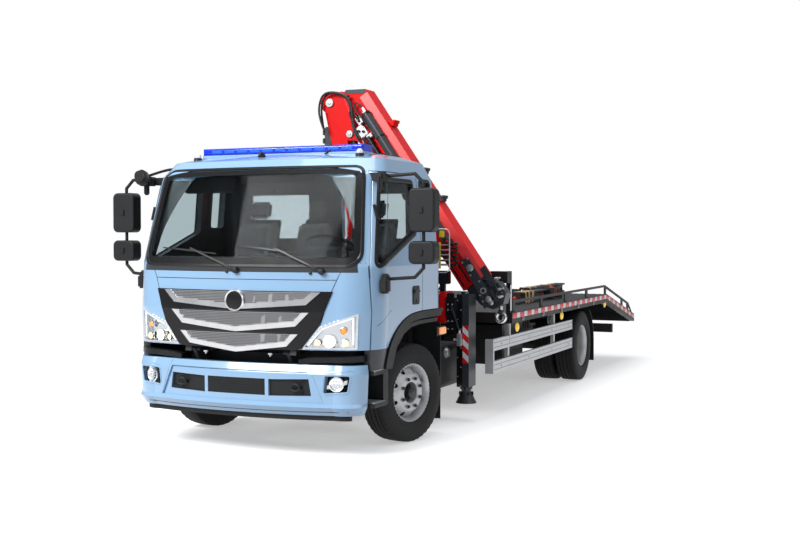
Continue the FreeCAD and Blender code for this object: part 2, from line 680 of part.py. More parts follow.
def roof_gear():
    mount_half, mount_y, mount_deep, mount_high, bar_high = 740.0, -300.0, 190.0, 14.0, 56.0
    mount = block((-mount_half, mount_half), about(mount_y, mount_deep), (roof_edge, roof_top + mount_high))
    mount = mount.cut(cab_body(seat))
    bar = block((-mount_half, mount_half), about(mount_y, mount_deep),
                (roof_top + mount_high + seat, roof_top + mount_high + bar_high))
    bar = softened(bar, bar_high / 3, lambda e: crosswise(e) or upright(e))
    arms = []
    arm, stand, blade_half, blade_gap, pivot_drop, tip_rise = 9.0, 22.0, 250.0, 1.0, 45.0, 130.0
    wiper_places = ((-60.0, -420.0), (640.0, 240.0))
    low_z, tip_z = screen_low - pivot_drop, screen_low + tip_rise

    def before_screen(x, z, ahead):
        return x, surface_y(x, z) - ahead, z
    for pivot_x, tip_x in wiper_places:
        pivot, tip = before_screen(pivot_x, low_z, stand), before_screen(tip_x, tip_z, stand)
        foot = rod(pivot, before_screen(pivot_x, low_z, -stand), 2 * arm)
        blade = [rod(before_screen(tip_x + side * blade_half, tip_z - side * over, arm + blade_gap), tip, arm)
                 for side in (-1, 1)]
        arms.append(join([rod(pivot, tip, arm), foot] + blade))
    wipers = join(arms).cut(cab_body(seat))
    return mount, bar, wipers


nodes["light_bar_mount"], nodes["light_bar"], nodes["wipers"] = roof_gear()


# Bumper: a ruled shell like the cab, with openings, inserts, fog lamps and a lower dam
bumper_rows = [
    (bumper_bottom, 1080.0, 780.0, 990.0, 975.0, 850.0, 0.0),
    (395.0, bumper_front, 790.0, 1040.0, 1000.0, 860.0, 0.0),
    (420.0, 1105.0, 790.0, 1015.0, 1000.0, 850.0, 0.0),
    (640.0, 1110.0, 790.0, 1020.0, 1010.0, 850.0, 0.0),
    (bumper_top, 1085.0, 780.0, 995.0, 1005.0, 845.0, 0.0),
]
bumper_wall = 50.0
mouth = [(280.0, 465.0), (620.0, 475.0), (600.0, 600.0), (280.0, 590.0)]
fog_outline = [(720.0, 500.0), (900.0, 515.0), (920.0, 630.0), (735.0, 625.0)]
plate_zone = [(-252.0, 468.0), (252.0, 468.0), (252.0, 592.0), (-252.0, 592.0)]
recess = [(-705.0, 425.0), (705.0, 425.0), (598.0, 655.0), (-598.0, 655.0)]
recess_deep = 16.0


def bumper_body(grow):
    return Part.makeLoft([cab_section(r, grow) for r in bumper_rows], True, True)


def bumper_piece(zone, outer, inner):
    return bumper_body(outer).cut(bumper_body(inner)).common(zone).common(front_zone)


bumper_end = door_front - over
front_zone = block((-cab_half_width, cab_half_width), (-bumper_front - over, bumper_end),
                   (bumper_bottom - over, bumper_top + over))
bumper_shell = bumper_body(0).cut(block((-cab_half_width, cab_half_width), (bumper_end, over), (0, rail_top)))
bumper_shell = bumper_shell.cut(bumper_body(-bumper_wall)).cut(bumper_piece(slab(recess), over, -recess_deep))
for zone in (pair(slab(mouth)), pair(slab(fog_outline)), slab(plate_zone)):
    bumper_shell = bumper_shell.cut(zone.common(front_zone))
nodes["front_bumper"] = bumper_shell
mouth_out, mouth_in, plate_out = -36.0, -48.0, -22.0
inserts = join([bumper_piece(pair(slab(shrunk(mouth, seat))), mouth_out, mouth_in),
                bumper_piece(slab(shrunk(plate_zone, seat)), plate_out, mouth_in)])
dam_half, dam_low, dam_in, dam_thick = 900.0, 290.0, -22.0, 18.0


def dam_body(grow):
    foot = (dam_low,) + bumper_rows[0][1:]
    head = (bumper_bottom - seat,) + bumper_rows[0][1:]
    return Part.makeLoft([cab_section(foot, grow), cab_section(head, grow)], True, True)


dam = dam_body(dam_in).cut(dam_body(dam_in - dam_thick))
dam = dam.common(block((-dam_half, dam_half), (-bumper_front, bumper_end), (0, rail_top)))
stays = pair(block((rail_half_width - 3 * over, rail_half_width), (-cab_front + bumper_wall, rail_front),
                   (bracket_low, bracket_high)))
stays = stays.cut(bumper_body(seat).cut(bumper_body(-bumper_wall - seat)))
nodes["bumper_inserts"] = join([inserts, dam])
nodes["chassis_frame"] = join([nodes["chassis_frame"], stays])
fog_out, fog_in = -6.0, -40.0
nodes["fog_lamps"] = pair(bumper_piece(slab(shrunk(fog_outline, seat)), fog_out, fog_in))


# Front mudguards and steps stand on the chassis: two bands over the wheel, flap and treads
def front_guards():
    lip_in, lip_out, inner, rib_in, rib_out, inset = 80.0, 5.0, 740.0, 78.0, 50.0, 15.0
    upper = band(0.985, 0.86, (cab_half_width - lip_in, cab_half_width + lip_out))
    lower = band(0.825, 0.76, (inner, cab_half_width - inset))
    rib = band(0.87, 0.815, (cab_half_width - rib_in, cab_half_width - rib_out))

    tread_in, tread_out, tread_deep, tread_high, tread_low, step_out = 820.0, 1040.0, 215.0, 32.0, 380.0, 10.0
    tread_front, tread_top = door_front + run_gap, cab_bottom - run_gap
    tread_back = tread_front + tread_deep
    treads = [block((tread_in, tread_out), (tread_front, tread_back), (tread_top - tread_high, tread_top)),
              block((tread_in, tread_out + step_out), (tread_front, tread_back),
                    (tread_low, tread_low + tread_high))]
    back = block((tread_in, tread_in + over), (tread_front, tread_back), (tread_low, tread_top))
    cheek_share, arm_wide, arm_high = 0.79, 60.0, 50.0
    cheek = block((tread_in, tread_out - step_out),
                  (door_front + tread_deep - over, -cheek_share * arch_reach), (tread_low, tread_top))
    arm = block((rail_half_width, tread_in), about(door_front + tread_deep / 2 + run_gap, arm_wide),
                (bracket_low, bracket_low + arm_high))

    flap_in, flap_y, flap_low, flap_high = 760.0, 470.0, 115.0, 930.0
    flap = block((flap_in, cab_half_width - over), (flap_y, flap_y + plate), (flap_low, flap_high))
    carrier_y, carrier_z, post_x, post_z = (400.0, 460.0), (700.0, 745.0), (745.0, 800.0), (690.0, 955.0)
    carrier = block((rail_half_width, flap_in + over), carrier_y, carrier_z)
    post = block(post_x, (carrier_y[0] - over, flap_y + over / 4), post_z)
    return join([upper, lower, rib, flap, back, cheek, arm, carrier, post] + treads)


left_guard = front_guards()
nodes["front_mudguards"] = pair(left_guard)


# Tanks and boxes between the axles
def side_boxes():
    tank_x, tank_y, tank_z, tank_round = (500.0, 900.0), (640.0, 1330.0), (300.0, 690.0), 60.0
    box_x, box_y, box_z, box_arm_y = (500.0, 1100.0), (1950.0, 2600.0), (420.0, 800.0), (2200.0, 2300.0)
    air_x, air_z, air_radius, arm_wide, arm_start, arm_last = 700.0, 520.0, 210.0, 60.0, 700.0, 1200.0
    tank = softened(block(tank_x, tank_y, tank_z), tank_round, lengthwise)
    arms = [block((rail_half_width, tank_x[0] + over), (y, y + arm_wide), (bracket_low, bracket_high))
            for y in (arm_start, arm_last)]
    box = block(box_x, box_y, box_z)
    box_arm = block((rail_half_width, box_x[0] + over), box_arm_y, (bracket_low, bracket_high))
    air_tank = rod((-air_x, tank_y[0], air_z), (-air_x, tank_y[1], air_z), air_radius)
    return join([tank, box, box_arm, air_tank, flip(join(arms))] + arms)


nodes["side_boxes"] = side_boxes()


# Bed: side channels bent down at the tail, cross bearers, runners and deck plate
def bed_line(y):
    if y <= bed_knee:
        return bed_top
    return bed_top - (bed_top - bed_tail_top) * (y - bed_knee) / (bed_back - bed_knee)


def bed_strip(high, low, x, start, end):
    stations = [start] + [bed_knee] * (start < bed_knee < end) + [end]
    top = [(y, bed_line(y) + high) for y in stations]
    base = [(y, bed_line(y) + low) for y in reversed(stations)]
    return prism_x(top + base, x)


def bed():
    channel, skin_thick, bearer, step = 60.0, 6.0, 60.0, 620.0
    inner = bed_half_width - channel
    side = bed_strip(0, -bed_depth, (inner, bed_half_width), bed_front, bed_back)
    pieces = [pair(side)]
    y = bed_front
    while y < bed_back - bearer:
        line = bed_line(y + bearer)
        pieces.append(block((-inner, inner), (y, y + bearer), (line - bed_depth, line - skin_thick - seat)))
        y += step
    pieces.append(block((-inner, inner), (bed_back - bearer, bed_back),
                        (bed_tail_top - bed_depth, bed_tail_top - over)))
    runner_x = (rail_half_width - bearer, rail_half_width)
    runner = block(runner_x, (bed_front, rail_back), (rail_top + seat, bed_bottom))
    sloping = bed_strip(over, -bed_depth, (-bed_half_width, bed_half_width), bed_knee, bed_back)
    pieces.append(pair(runner).cut(sloping))
    pieces.append(pair(bed_strip(-skin_thick - seat, -bed_depth, runner_x, bed_front, bed_back - bearer / 2)))
    deck = bed_strip(0, -skin_thick, (-inner + seat, inner - seat), bed_front, bed_back)
    return join(pieces), deck


nodes["bed_frame"], nodes["deck_plate"] = bed()


def bed_edges():
    rail_in, rail_high, rail_lift, post_wide, pitch, rail_ends = 40.0, 26.0, 85.0, 70.0, 910.0, (90.0, 250.0)
    rail_start, rail_end = bed_front + rail_ends[0], bed_back - rail_ends[1]
    x = (bed_half_width - rail_in, bed_half_width - rail_in + 2 * plate)
    rail = bed_strip(rail_lift + rail_high, rail_lift, x, rail_start, rail_end)
    end_line = bed_line(rail_end) + rail_lift
    nose = prism_x([(rail_end, end_line), (bed_back - over, bed_line(bed_back - over) + seat),
                    (bed_back, bed_line(bed_back) + seat), (rail_end, end_line + rail_high)], x)
    posts = []
    y = rail_start
    while y < rail_end - 2 * post_wide:
        posts.append(bed_strip(rail_lift, seat, x, y, y + post_wide))
        y += pitch
    posts.append(bed_strip(rail_lift, seat, x, rail_end - post_wide, rail_end))
    head_in, head_deep, box_in, box_deep, box_high = 60.0, 50.0, 190.0, 80.0, 110.0
    post = block((bed_half_width - head_in, bed_half_width - over), (bed_front, bed_front + head_deep),
                 (bed_top + seat, post_top))
    box = block((bed_half_width - box_in, bed_half_width - over), (bed_front - box_deep, bed_front),
                (post_top - box_high, post_top))
    return pair(join([rail, nose, post, box] + posts))


nodes["bed_rails"] = bed_edges()


# Side guards, rear mudguards and underrun bar
def side_guards():
    start, before_wheel, deep, inset = 1290.0, 440.0, 28.0, 30.0
    turn_in, strut_deep, strut_wide = 50.0, 34.0, 45.0
    upper, lower, strut_low, strut_start, strut_end = (620.0, 725.0), (415.0, 525.0), 430.0, 1760.0, 660.0
    end = wheelbase - before_wheel
    x = (bed_half_width - inset - deep, bed_half_width - inset)
    rails = [block(x, (start, end), z) for z in (upper, lower)]
    turn = block((x[0] - turn_in, x[1]), (start - deep, start), (lower[0], upper[1]))
    struts = [block((x[0] - strut_deep, x[0]), (y, y + strut_wide), (strut_low, bed_bottom - seat))
              for y in (strut_start, end - strut_end)]
    return pair(join(rails + [turn] + struts))


nodes["side_guards"] = side_guards()


def rear_guards():
    outer, thick, keep_back, keep_low, flap_low = 485.0, 10.0, 280.0, 40.0, 180.0
    stay_gap, stay_wide, stay_over, stay_front, stay_back = 40.0, 60.0, 60.0, 440.0, 70.0
    x = (rear_wheel_x - dual_spacing - tyre_width / 2, bed_half_width - over)
    back = wheelbase + outer
    ring = rod((x[0], wheelbase, axle_z), (x[1], wheelbase, axle_z), outer)
    ring = ring.cut(rod((x[0], wheelbase, axle_z), (x[1], wheelbase, axle_z), outer - thick))
    keep = block((0, bed_half_width), (wheelbase + keep_back, back), (axle_z - keep_low, bed_bottom - seat))
    flap = block(x, (back - thick, back), (flap_low, axle_z))
    stay = block((rail_half_width, x[0]), about(back + stay_gap, stay_wide), (bracket_low, bracket_high))
    stay_end = block((x[0] - over, x[0] + stay_over), (wheelbase + stay_front, back + stay_back),
                     (bracket_low, bracket_high))
    return pair(join([ring.common(keep), flap, stay, stay_end]))


underrun_behind, bar_low, bar_high, bar_deep = 1860.0, 400.0, 110.0, 60.0


def underrun():
    y, half, arm_back, arm_deep, arm_wide = wheelbase + underrun_behind, 1150.0, 60.0, 240.0, 60.0
    number_x, number_deep = (250.0, 770.0), 6.0
    z = (bar_low, bar_low + bar_high)
    bar = block((-half, half), (y, y + bar_deep), z)
    arm_end = rail_back - arm_back
    arms = pair(prism_x([(arm_end - arm_deep, rail_bottom - seat), (arm_end, rail_bottom - seat), (y, z[1]),
                         (y, z[0])],
                        (rail_half_width - arm_wide, rail_half_width)))
    number = block(number_x, (y + bar_deep, y + bar_deep + number_deep), z)
    return join([bar, arms, number])


def tail_lamps():
    lamp_x, deep, inset = (880.0, 1130.0), 45.0, 5.0
    y = wheelbase + underrun_behind + bar_deep + seat
    return pair(block(lamp_x, (y, y + deep), (bar_low + inset, bar_low + bar_high - inset)))


nodes["rear_mudguards"] = rear_guards()
nodes["rear_underrun"] = underrun()
nodes["tail_lamps"] = tail_lamps()


# Crane base: cross beam on the rails with a ring, outrigger boxes to both sides
def crane_base():
    housing_x, foot_back, tower_back, tower_half, cap = 870.0, 1600.0, 1500.0, 190.0, 26.0
    beam_low, beam_high, beam_wide, wall, foot_wide, shelf_high = 940.0, 1110.0, 170.0, 15.0, 90.0, 60.0
    beam_y = about(leg_y, beam_wide)
    front = beam_y[0] - wall
    foot = pair(block((rail_half_width - foot_wide, rail_half_width), (front, foot_back),
                      (rail_top + seat, base_bottom)))
    housing = block((-housing_x, housing_x), (front, beam_y[1] + wall), (base_bottom, base_top - wall))
    collar = pair(block((housing_x - 2 * cap, housing_x), (front - cap / 2, beam_y[1] + wall + cap / 2),
                        (base_bottom - cap / 2, base_top - cap / 2)))
    bore = block((-housing_x - over, housing_x + over), beam_y, (beam_low - seat, beam_high + run_gap / 2))
    tower = block(about(slew_x, 2 * tower_half), (beam_y[1], tower_back), (base_bottom, base_top))
    shelf = block((-rail_half_width, rail_half_width), (beam_y[1], tower_back),
                  (base_bottom, base_bottom + shelf_high))
    return join([join([housing, collar]).cut(bore), tower, shelf, foot]), beam_y, (beam_low, beam_high)


base, beam_y, beam_z = crane_base()
nodes["crane_base"] = base


def outrigger():
    inset = run_gap / 2
    leg_wide, leg_deep, leg_top, leg_low, tube, cap = 116.0, 180.0, 1140.0, 310.0, 44.0, 60.0
    cone_radius, cone_top, cone_high = 95.0, 50.0, 90.0
    beam = block((over, leg_x - leg_wide / 2), (beam_y[0] + inset, beam_y[1] - inset), (beam_z[0], beam_z[1]))
    leg = block(about(leg_x, leg_wide), about(leg_y, leg_deep), (leg_low, leg_top))
    bore = rod((leg_x, leg_y, 0), (leg_x, leg_y, leg_top - cap), tube + pin_fit)
    ram = rod((leg_x, leg_y, pad_clearance + cap), (leg_x, leg_y, leg_top - cap - over), tube)
    cone = Part.makeCone(cone_radius, cone_top, cone_high, V(leg_x, leg_y, pad_clearance))
    return join([beam, leg]).cut(bore), join([ram, cone])


beam_leg, foot = outrigger()
nodes["outrigger_left"], nodes["outrigger_right"] = beam_leg, flip(beam_leg)
nodes["outrigger_foot_left"], nodes["outrigger_foot_right"] = foot, flip(foot)


# Crane booms, drawn in the upright plane across the truck
def boom_plate(outline, width):
    return prism_y(outline, about(crane_y, width))


def cross_pin(x, z, radius, width, side=0):
    middle_y = crane_y + side
    return rod((x, middle_y - width / 2, z), (x, middle_y + width / 2, z), radius)


pin_radius = 30.0
small_pin = 20.0
eye_radius = 38.0
lift_foot = (120.0, 1290.0)
lift_eye = (-100.0, 2250.0)
fold_foot = (-38.0, 1950.0)
fold_eye = (-196.0, 2627.0)
lift_side, fold_side = 39.0, -40.0
cheek = 22.0
slope = math.radians(boom_slope)
along = V(math.cos(slope), 0, -math.sin(slope))
above = V(math.sin(slope), 0, math.cos(slope))


def on_boom(distance, height):
    return V(knuckle_x, 0, knuckle_z) + along * distance + above * height


def boom_outline(points):
    return [(on_boom(a, h).x, on_boom(a, h).z) for a, h in points]


def column():
    foot_x, foot_z = lift_foot
    turret_radius, turret_high, rise = 150.0, 60.0, 120.0
    base = base_top + turret_high
    turret = rod((slew_x, crane_y, base_top + seat), (slew_x, crane_y, base), turret_radius)
    body = boom_plate([(slew_x - turret_radius, base), (foot_x - pin_radius, base),
                       (foot_x + eye_radius, foot_z - eye_radius), (foot_x + eye_radius, foot_z + eye_radius),
                       (foot_x - 2 * eye_radius, foot_z + 2 * eye_radius),
                       (heel_x + rise, foot_z + 2 * rise), (heel_x + rise / 2, heel_z),
                       (heel_x - rise / 2, heel_z), (slew_x - turret_radius, foot_z + rise)], boom_width)
    body = join([body, cross_pin(heel_x, heel_z, 2.5 * pin_radius, boom_width)])
    room = boom_width - 2 * cheek
    slot = boom_plate([(heel_x - rise, heel_z - 3 * eye_radius), (heel_x + 2 * rise, heel_z - 3 * eye_radius),
                       (heel_x + 2 * rise, heel_z + rise), (heel_x - rise, heel_z + rise)], room)
    back = 1.5 * eye_radius
    low_slot = boom_plate([(foot_x - back, foot_z - back), (foot_x + rise, foot_z - back),
                           (foot_x + rise, foot_z + 3 * rise), (heel_x + rise / 2, foot_z + 3 * rise),
                           (foot_x - back, foot_z + back)], room)
    pins = [cross_pin(heel_x, heel_z, pin_radius, boom_width + cheek),
            cross_pin(foot_x, foot_z, small_pin, boom_width + cheek)]
    return join([turret, body.cut(slot).cut(low_slot)] + pins)


nodes["crane_column"] = column()


def inner_boom():
    width = boom_width - 2 * cheek - 2 * run_gap
    half, head, ear_gap = 85.0, 98.0, 2.0
    lean = V(knuckle_x - heel_x, 0, knuckle_z - heel_z)
    lean.normalize()
    across = V(lean.z, 0, -lean.x)

    def beside(point, out_by):
        return (point.x + across.x * out_by, point.z + across.z * out_by)
    heel_end = V(heel_x, 0, heel_z)
    knuckle_end = V(knuckle_x, 0, knuckle_z)
    box = boom_plate([beside(heel_end, -half), beside(heel_end, half), beside(knuckle_end, half),
                      beside(knuckle_end, -half)], width)
    box = join([box, cross_pin(heel_x, heel_z, half, width), cross_pin(knuckle_x, knuckle_z, head, width)])
    lugs = []
    lift_wide, fold_wide = 76.0, 64.0
    for (x, z), side, wide in ((lift_eye, lift_side, lift_wide), (fold_foot, fold_side, fold_wide)):
        foot = heel_end + lean * (z - heel_z) * (1 / lean.z)
        nose = 1.1 * eye_radius
        near = [(foot.x, z - 2 * eye_radius), (x, z - nose), (x + eye_radius, z), (x, z + nose),
                (foot.x, z + 2 * eye_radius)]
        edge = beside(foot, half)[0] + ear_gap
        clear = [(edge, z - 4 * eye_radius), (x + 3 * eye_radius, z - 4 * eye_radius),
                 (x + 3 * eye_radius, z + 4 * eye_radius), (edge, z + 4 * eye_radius)]
        room = wide - cheek + 2 * ear_gap
        ears = prism_y(near, about(crane_y + side, wide)).cut(prism_y(clear, about(crane_y + side, room)))
        end_pin = cross_pin(x, z, small_pin, wide + run_gap, side)
        if side == lift_side:
            end_pin = end_pin.cut(cross_pin(x, z, eye_radius, room, side))
        lugs.append(join([ears, end_pin]))
    pin = cross_pin(knuckle_x, knuckle_z, pin_radius, boom_width + cheek)
    boom = join([box, pin] + lugs)
    return boom.cut(cross_pin(heel_x, heel_z, pin_radius + pin_fit, 2 * width))


nodes["inner_boom"] = inner_boom()


boom_high, boom_low, boom_wall, box_start = 372.0, 121.0, 24.0, 560.0
ram_start, ram_end, ram_high = 330.0, 1830.0, 262.0


def outer_boom():
    root_low, root_share = 30.0, 0.36
    outline = [(12.0, 197.0), (116.0, boom_high), (boom_length, boom_high), (boom_length, boom_low),
               (root_share * boom_length, boom_low), (476.0, root_low), (386.0, -42.0), (60.0, -80.0),
               (-80.0, 60.0)]
    root_radius, eye_plate = 100.0, 62.0
    body = join([boom_plate(boom_outline(outline), boom_width),
                 cross_pin(knuckle_x, knuckle_z, root_radius, boom_width),
                 cross_pin(fold_eye[0], fold_eye[1], eye_plate, boom_width)])
    inside = boom_outline([(box_start, boom_high - boom_wall), (boom_length + over, boom_high - boom_wall),
                           (boom_length + over, boom_low + boom_wall), (box_start, boom_low + boom_wall)])
    clear, slot_bend, slot_turn, slot_end = 108.0, 386.0, 440.0, 900.0
    slot = boom_plate(boom_outline([(-2 * clear, clear), (0, clear), (0.6 * clear, 0.9 * clear),
                                    (slot_bend, 0.68 * clear), (slot_turn, 0.6 * clear), (slot_end, -clear),
                                    (slot_end, -5 * clear), (-2 * clear, -5 * clear)]),
                      boom_width - 2 * cheek)
    body = body.cut(boom_plate(inside, boom_width - 2 * boom_wall)).cut(slot)
    body = body.cut(cross_pin(knuckle_x, knuckle_z, pin_radius + pin_fit, 2 * boom_width))
    end_pin = cross_pin(fold_eye[0], fold_eye[1], small_pin, boom_width + cheek)
    return join([body, end_pin.cut(cross_pin(fold_eye[0], fold_eye[1], eye_plate, boom_width - 2 * cheek))])


nodes["outer_boom"] = outer_boom()


tip_bore = 18.0


def extension():
    fit = boom_wall + run_gap / 2
    width = boom_width - 2 * fit
    tube_reach, start, floor = 60.0, box_start + 2 * over, boom_low + boom_wall
    tube = boom_outline([(start, boom_high - fit), (boom_length + tube_reach, boom_high - fit),
                         (boom_length + tube_reach, floor + seat), (start, floor + seat)])

    # Head and side arm: distance past the boom's end and height, both in the boom's own frame
    head_points = [(run_gap, boom_high - fit), (120.0, 432.0), (240.0, 442.0), (307.0, 362.0), (290.0, 252.0),
                   (200.0, 181.0), (run_gap, floor)]
    arm_points = [(-245.0, 265.0), (-215.0, 335.0), (120.0, 330.0), (262.0, 270.0), (250.0, 205.0),
                  (60.0, 245.0)]
    bridge_points = [(40.0, 250.0), (40.0, 320.0), (180.0, 310.0), (180.0, 225.0)]
    pin_places = [(-128.0, 305.0), (203.0, 292.0), (243.0, 296.0)]
    tip_place = (215.0, 400.0)

    def past_end(points):
        return boom_outline([(boom_length + distance, height) for distance, height in points])
    arm_deep, arm_gap, pin_share = 26.0, 8.0, 1.4
    arm_y = crane_y - boom_width / 2 - arm_gap
    arm = prism_y(past_end(arm_points), (arm_y - arm_deep, arm_y))
    bridge = prism_y(past_end(bridge_points), (arm_y - arm_deep / 2, crane_y))
    pins = [rod((x, arm_y - pin_share * arm_deep, z), (x, arm_y - arm_deep / 2, z), small_pin)
            for x, z in past_end(pin_places)]
    tip_x, tip_z = past_end([tip_place])[0]
    whole = join([boom_plate(tube, width), boom_plate(past_end(head_points), width), arm, bridge] + pins)
    return whole.cut(cross_pin(tip_x, tip_z, tip_bore, 2 * boom_width))


nodes["extension_boom"] = extension()


def extension_ram():
    barrel_radius, foot_radius, stand = 40.0, 30.0, 48.0
    y = crane_y - boom_width / 2 - stand
    a, b = on_boom(ram_start, ram_high), on_boom(ram_end, ram_high)
    barrel_tube = rod((a.x, y, a.z), (b.x, y, b.z), barrel_radius)
    mounts = []
    for d in (ram_start + 2 * barrel_radius, ram_end - 2 * barrel_radius):
        c = on_boom(d, ram_high)
        mounts.append(rod((c.x, y, c.z), (c.x, crane_y - boom_width / 2 - seat, c.z), foot_radius))
    return join([barrel_tube] + mounts)


nodes["extension_ram"] = extension_ram()


def cylinder(foot, eye_place, side, sizes, barrel_share, rod_share):
    outer_radius, inner_radius, eye_wide = sizes
    y = crane_y + side
    start, end = V(foot[0], y, foot[1]), V(eye_place[0], y, eye_place[1])
    run = end - start
    gland = start + run * barrel_share
    bottom = start + run * (1.6 * eye_radius / run.Length)
    tube = rod(tuple(start), tuple(gland), outer_radius)
    boss = cross_pin(foot[0], foot[1], eye_radius, eye_wide, side)
    bore = rod(tuple(bottom), tuple(gland + run * 0.1), inner_radius + pin_fit)
    wide, high = 5 * eye_radius, 1.5 * eye_radius
    slim = prism_y([(foot[0] - wide, foot[1] - wide), (foot[0] + wide, foot[1] - wide),
                    (foot[0] + wide, foot[1] + high), (foot[0] - wide, foot[1] + high)],
                   about(y, 2 * outer_radius))
    slim = slim.cut(block(about(foot[0], 3 * wide), about(y, eye_wide), about(foot[1], 3 * wide)))
    barrel_tube = join([tube, boss]).cut(bore).cut(slim)
    barrel_tube = barrel_tube.cut(cross_pin(foot[0], foot[1], small_pin + pin_fit, 2 * eye_wide, side))
    stem = rod(tuple(start + run * rod_share), tuple(end), inner_radius)
    head = cross_pin(eye_place[0], eye_place[1], eye_radius, eye_wide, side)
    return barrel_tube, join([stem, head])


lift_sizes, fold_sizes = (35.0, 24.0, 50.0), (32.0, 19.0, 44.0)
nodes["lift_barrel"], nodes["lift_rod"] = cylinder(lift_foot, lift_eye, lift_side, lift_sizes, 0.7, 0.46)
nodes["fold_barrel"], nodes["fold_rod"] = cylinder(fold_foot, fold_eye, fold_side, fold_sizes, 0.9, 0.1)


# Hook under the extension head
def hook():
    shank_radius, drop, loop_radius, wire, reach = 16.0, 60.0, 42.0, 15.0, 300.0
    top = on_boom(boom_length + reach, boom_high - drop)
    shank = rod((top.x, crane_y, top.z), (top.x, crane_y, top.z - drop), shank_radius)
    loop = Part.makeTorus(loop_radius, wire, V(top.x, crane_y, top.z - drop - loop_radius), V(0, 1, 0))
    return join([shank, loop]).cut(nodes["extension_boom"])


nodes["hook"] = hook()

os.makedirs("parts", exist_ok=True)
for name, shape in nodes.items():
    placed = shape.copy()
    placed.translate(V(0, -middle, 0))
    placed.exportStep("parts/" + name + ".step")
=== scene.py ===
import bmesh
import bpy
import math
from mathutils import Matrix, Vector
from mathutils.bvhtree import BVHTree


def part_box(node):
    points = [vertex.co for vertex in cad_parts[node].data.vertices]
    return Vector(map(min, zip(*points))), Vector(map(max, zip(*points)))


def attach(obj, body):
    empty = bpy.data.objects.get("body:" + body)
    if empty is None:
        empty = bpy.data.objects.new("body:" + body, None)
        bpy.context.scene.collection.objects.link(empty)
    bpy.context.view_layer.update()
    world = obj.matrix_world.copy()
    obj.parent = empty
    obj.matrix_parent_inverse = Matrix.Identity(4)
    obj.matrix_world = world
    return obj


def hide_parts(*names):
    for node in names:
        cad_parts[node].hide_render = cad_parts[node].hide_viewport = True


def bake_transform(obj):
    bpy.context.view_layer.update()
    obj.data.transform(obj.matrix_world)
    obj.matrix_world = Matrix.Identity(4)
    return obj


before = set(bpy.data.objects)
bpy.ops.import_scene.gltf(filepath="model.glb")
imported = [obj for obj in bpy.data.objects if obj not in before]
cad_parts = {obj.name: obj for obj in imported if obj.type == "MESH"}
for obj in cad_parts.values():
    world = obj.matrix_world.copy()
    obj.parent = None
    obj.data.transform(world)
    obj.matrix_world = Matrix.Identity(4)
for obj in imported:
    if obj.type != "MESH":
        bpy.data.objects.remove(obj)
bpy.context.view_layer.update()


# Camera: it stands ahead of the truck's left corner at eye height, as the photograph was taken.
# The picture is 800 pixels wide and 1150 pixels of focal length, without any shift.
picture_width, picture_focal, sensor = 800, 1150, 36.0
camera_place = (4.64, -11.49, 1.67)
camera_yaw, camera_pitch = 23.71, 1.6
camera = bpy.data.objects.new("camera", bpy.data.cameras.new("camera"))
camera.data.sensor_width = sensor
camera.data.lens = picture_focal * sensor / picture_width
camera.location = camera_place
camera.rotation_euler = (math.radians(90 - camera_pitch), 0, math.radians(camera_yaw))
bpy.context.collection.objects.link(camera)
bpy.context.scene.camera = camera
bpy.context.scene.view_settings.view_transform = "Standard"


# Studio: a pale floor that melts into a white backdrop, a soft sky and three large soft boxes.
# The floor keeps the shadow and fades to plain white some metres away from the truck.
def new_material(name):
    material = bpy.data.materials.new(name)
    material.use_nodes = True
    tree = material.node_tree
    tree.nodes.clear()
    return material, tree


def add(tree, kind, **values):
    node = tree.nodes.new(kind)
    for key, value in values.items():
        if hasattr(node, key):
            setattr(node, key, value)
        else:
            node.inputs[key.replace("_", " ")].default_value = value
    return node


def link(tree, source, output, target, socket):
    tree.links.new(source.outputs[output], target.inputs[socket])


def seen_directly(tree):
    path = add(tree, "ShaderNodeLightPath")
    first = add(tree, "ShaderNodeMath", operation="MAXIMUM")
    both = add(tree, "ShaderNodeMath", operation="MAXIMUM")
    for wire in ((path, "Is Camera Ray", first, 0), (path, "Is Glossy Ray", first, 1), (first, 0, both, 0),
                 (path, "Is Transmission Ray", both, 1)):
        link(tree, *wire)
    return both


floor_fade_near, floor_fade_far, floor_half = 4.6, 8.5, 60.0
floor_mesh = bpy.data.meshes.new("studio_floor")
floor_mesh.from_pydata([(-floor_half, -floor_half, 0), (floor_half, -floor_half, 0),
                        (floor_half, floor_half, 0), (-floor_half, floor_half, 0)], [], [(0, 1, 2, 3)])
floor = bpy.data.objects.new("studio_floor", floor_mesh)
bpy.context.collection.objects.link(floor)
floor_paint, tree = new_material("studio_floor")
place = add(tree, "ShaderNodeTexCoord")
length = add(tree, "ShaderNodeVectorMath", operation="LENGTH")
fade = add(tree, "ShaderNodeMapRange", interpolation_type="SMOOTHSTEP")
fade.inputs["From Min"].default_value = floor_fade_near
fade.inputs["From Max"].default_value = floor_fade_far
matt = add(tree, "ShaderNodeBsdfDiffuse", Color=(0.8, 0.8, 0.8, 1))
dim = add(tree, "ShaderNodeBsdfDiffuse", Color=(0.45, 0.45, 0.46, 1))
glow = add(tree, "ShaderNodeEmission", Color=(1, 1, 1, 1), Strength=0.42)
lit = add(tree, "ShaderNodeAddShader")
white = add(tree, "ShaderNodeEmission", Color=(1, 1, 1, 1), Strength=1.0)
seen = add(tree, "ShaderNodeMixShader")
both = add(tree, "ShaderNodeMixShader")
rays = seen_directly(tree)
out = add(tree, "ShaderNodeOutputMaterial")
for wire in ((place, "Object", length, 0), (length, "Value", fade, "Value"), (matt, 0, lit, 0),
             (glow, 0, lit, 1), (fade, 0, both, 0), (lit, 0, both, 1), (white, 0, both, 2),
             (rays, 0, seen, 0), (dim, 0, seen, 1), (both, 0, seen, 2), (seen, 0, out, "Surface")):
    link(tree, *wire)
floor.data.materials.append(floor_paint)

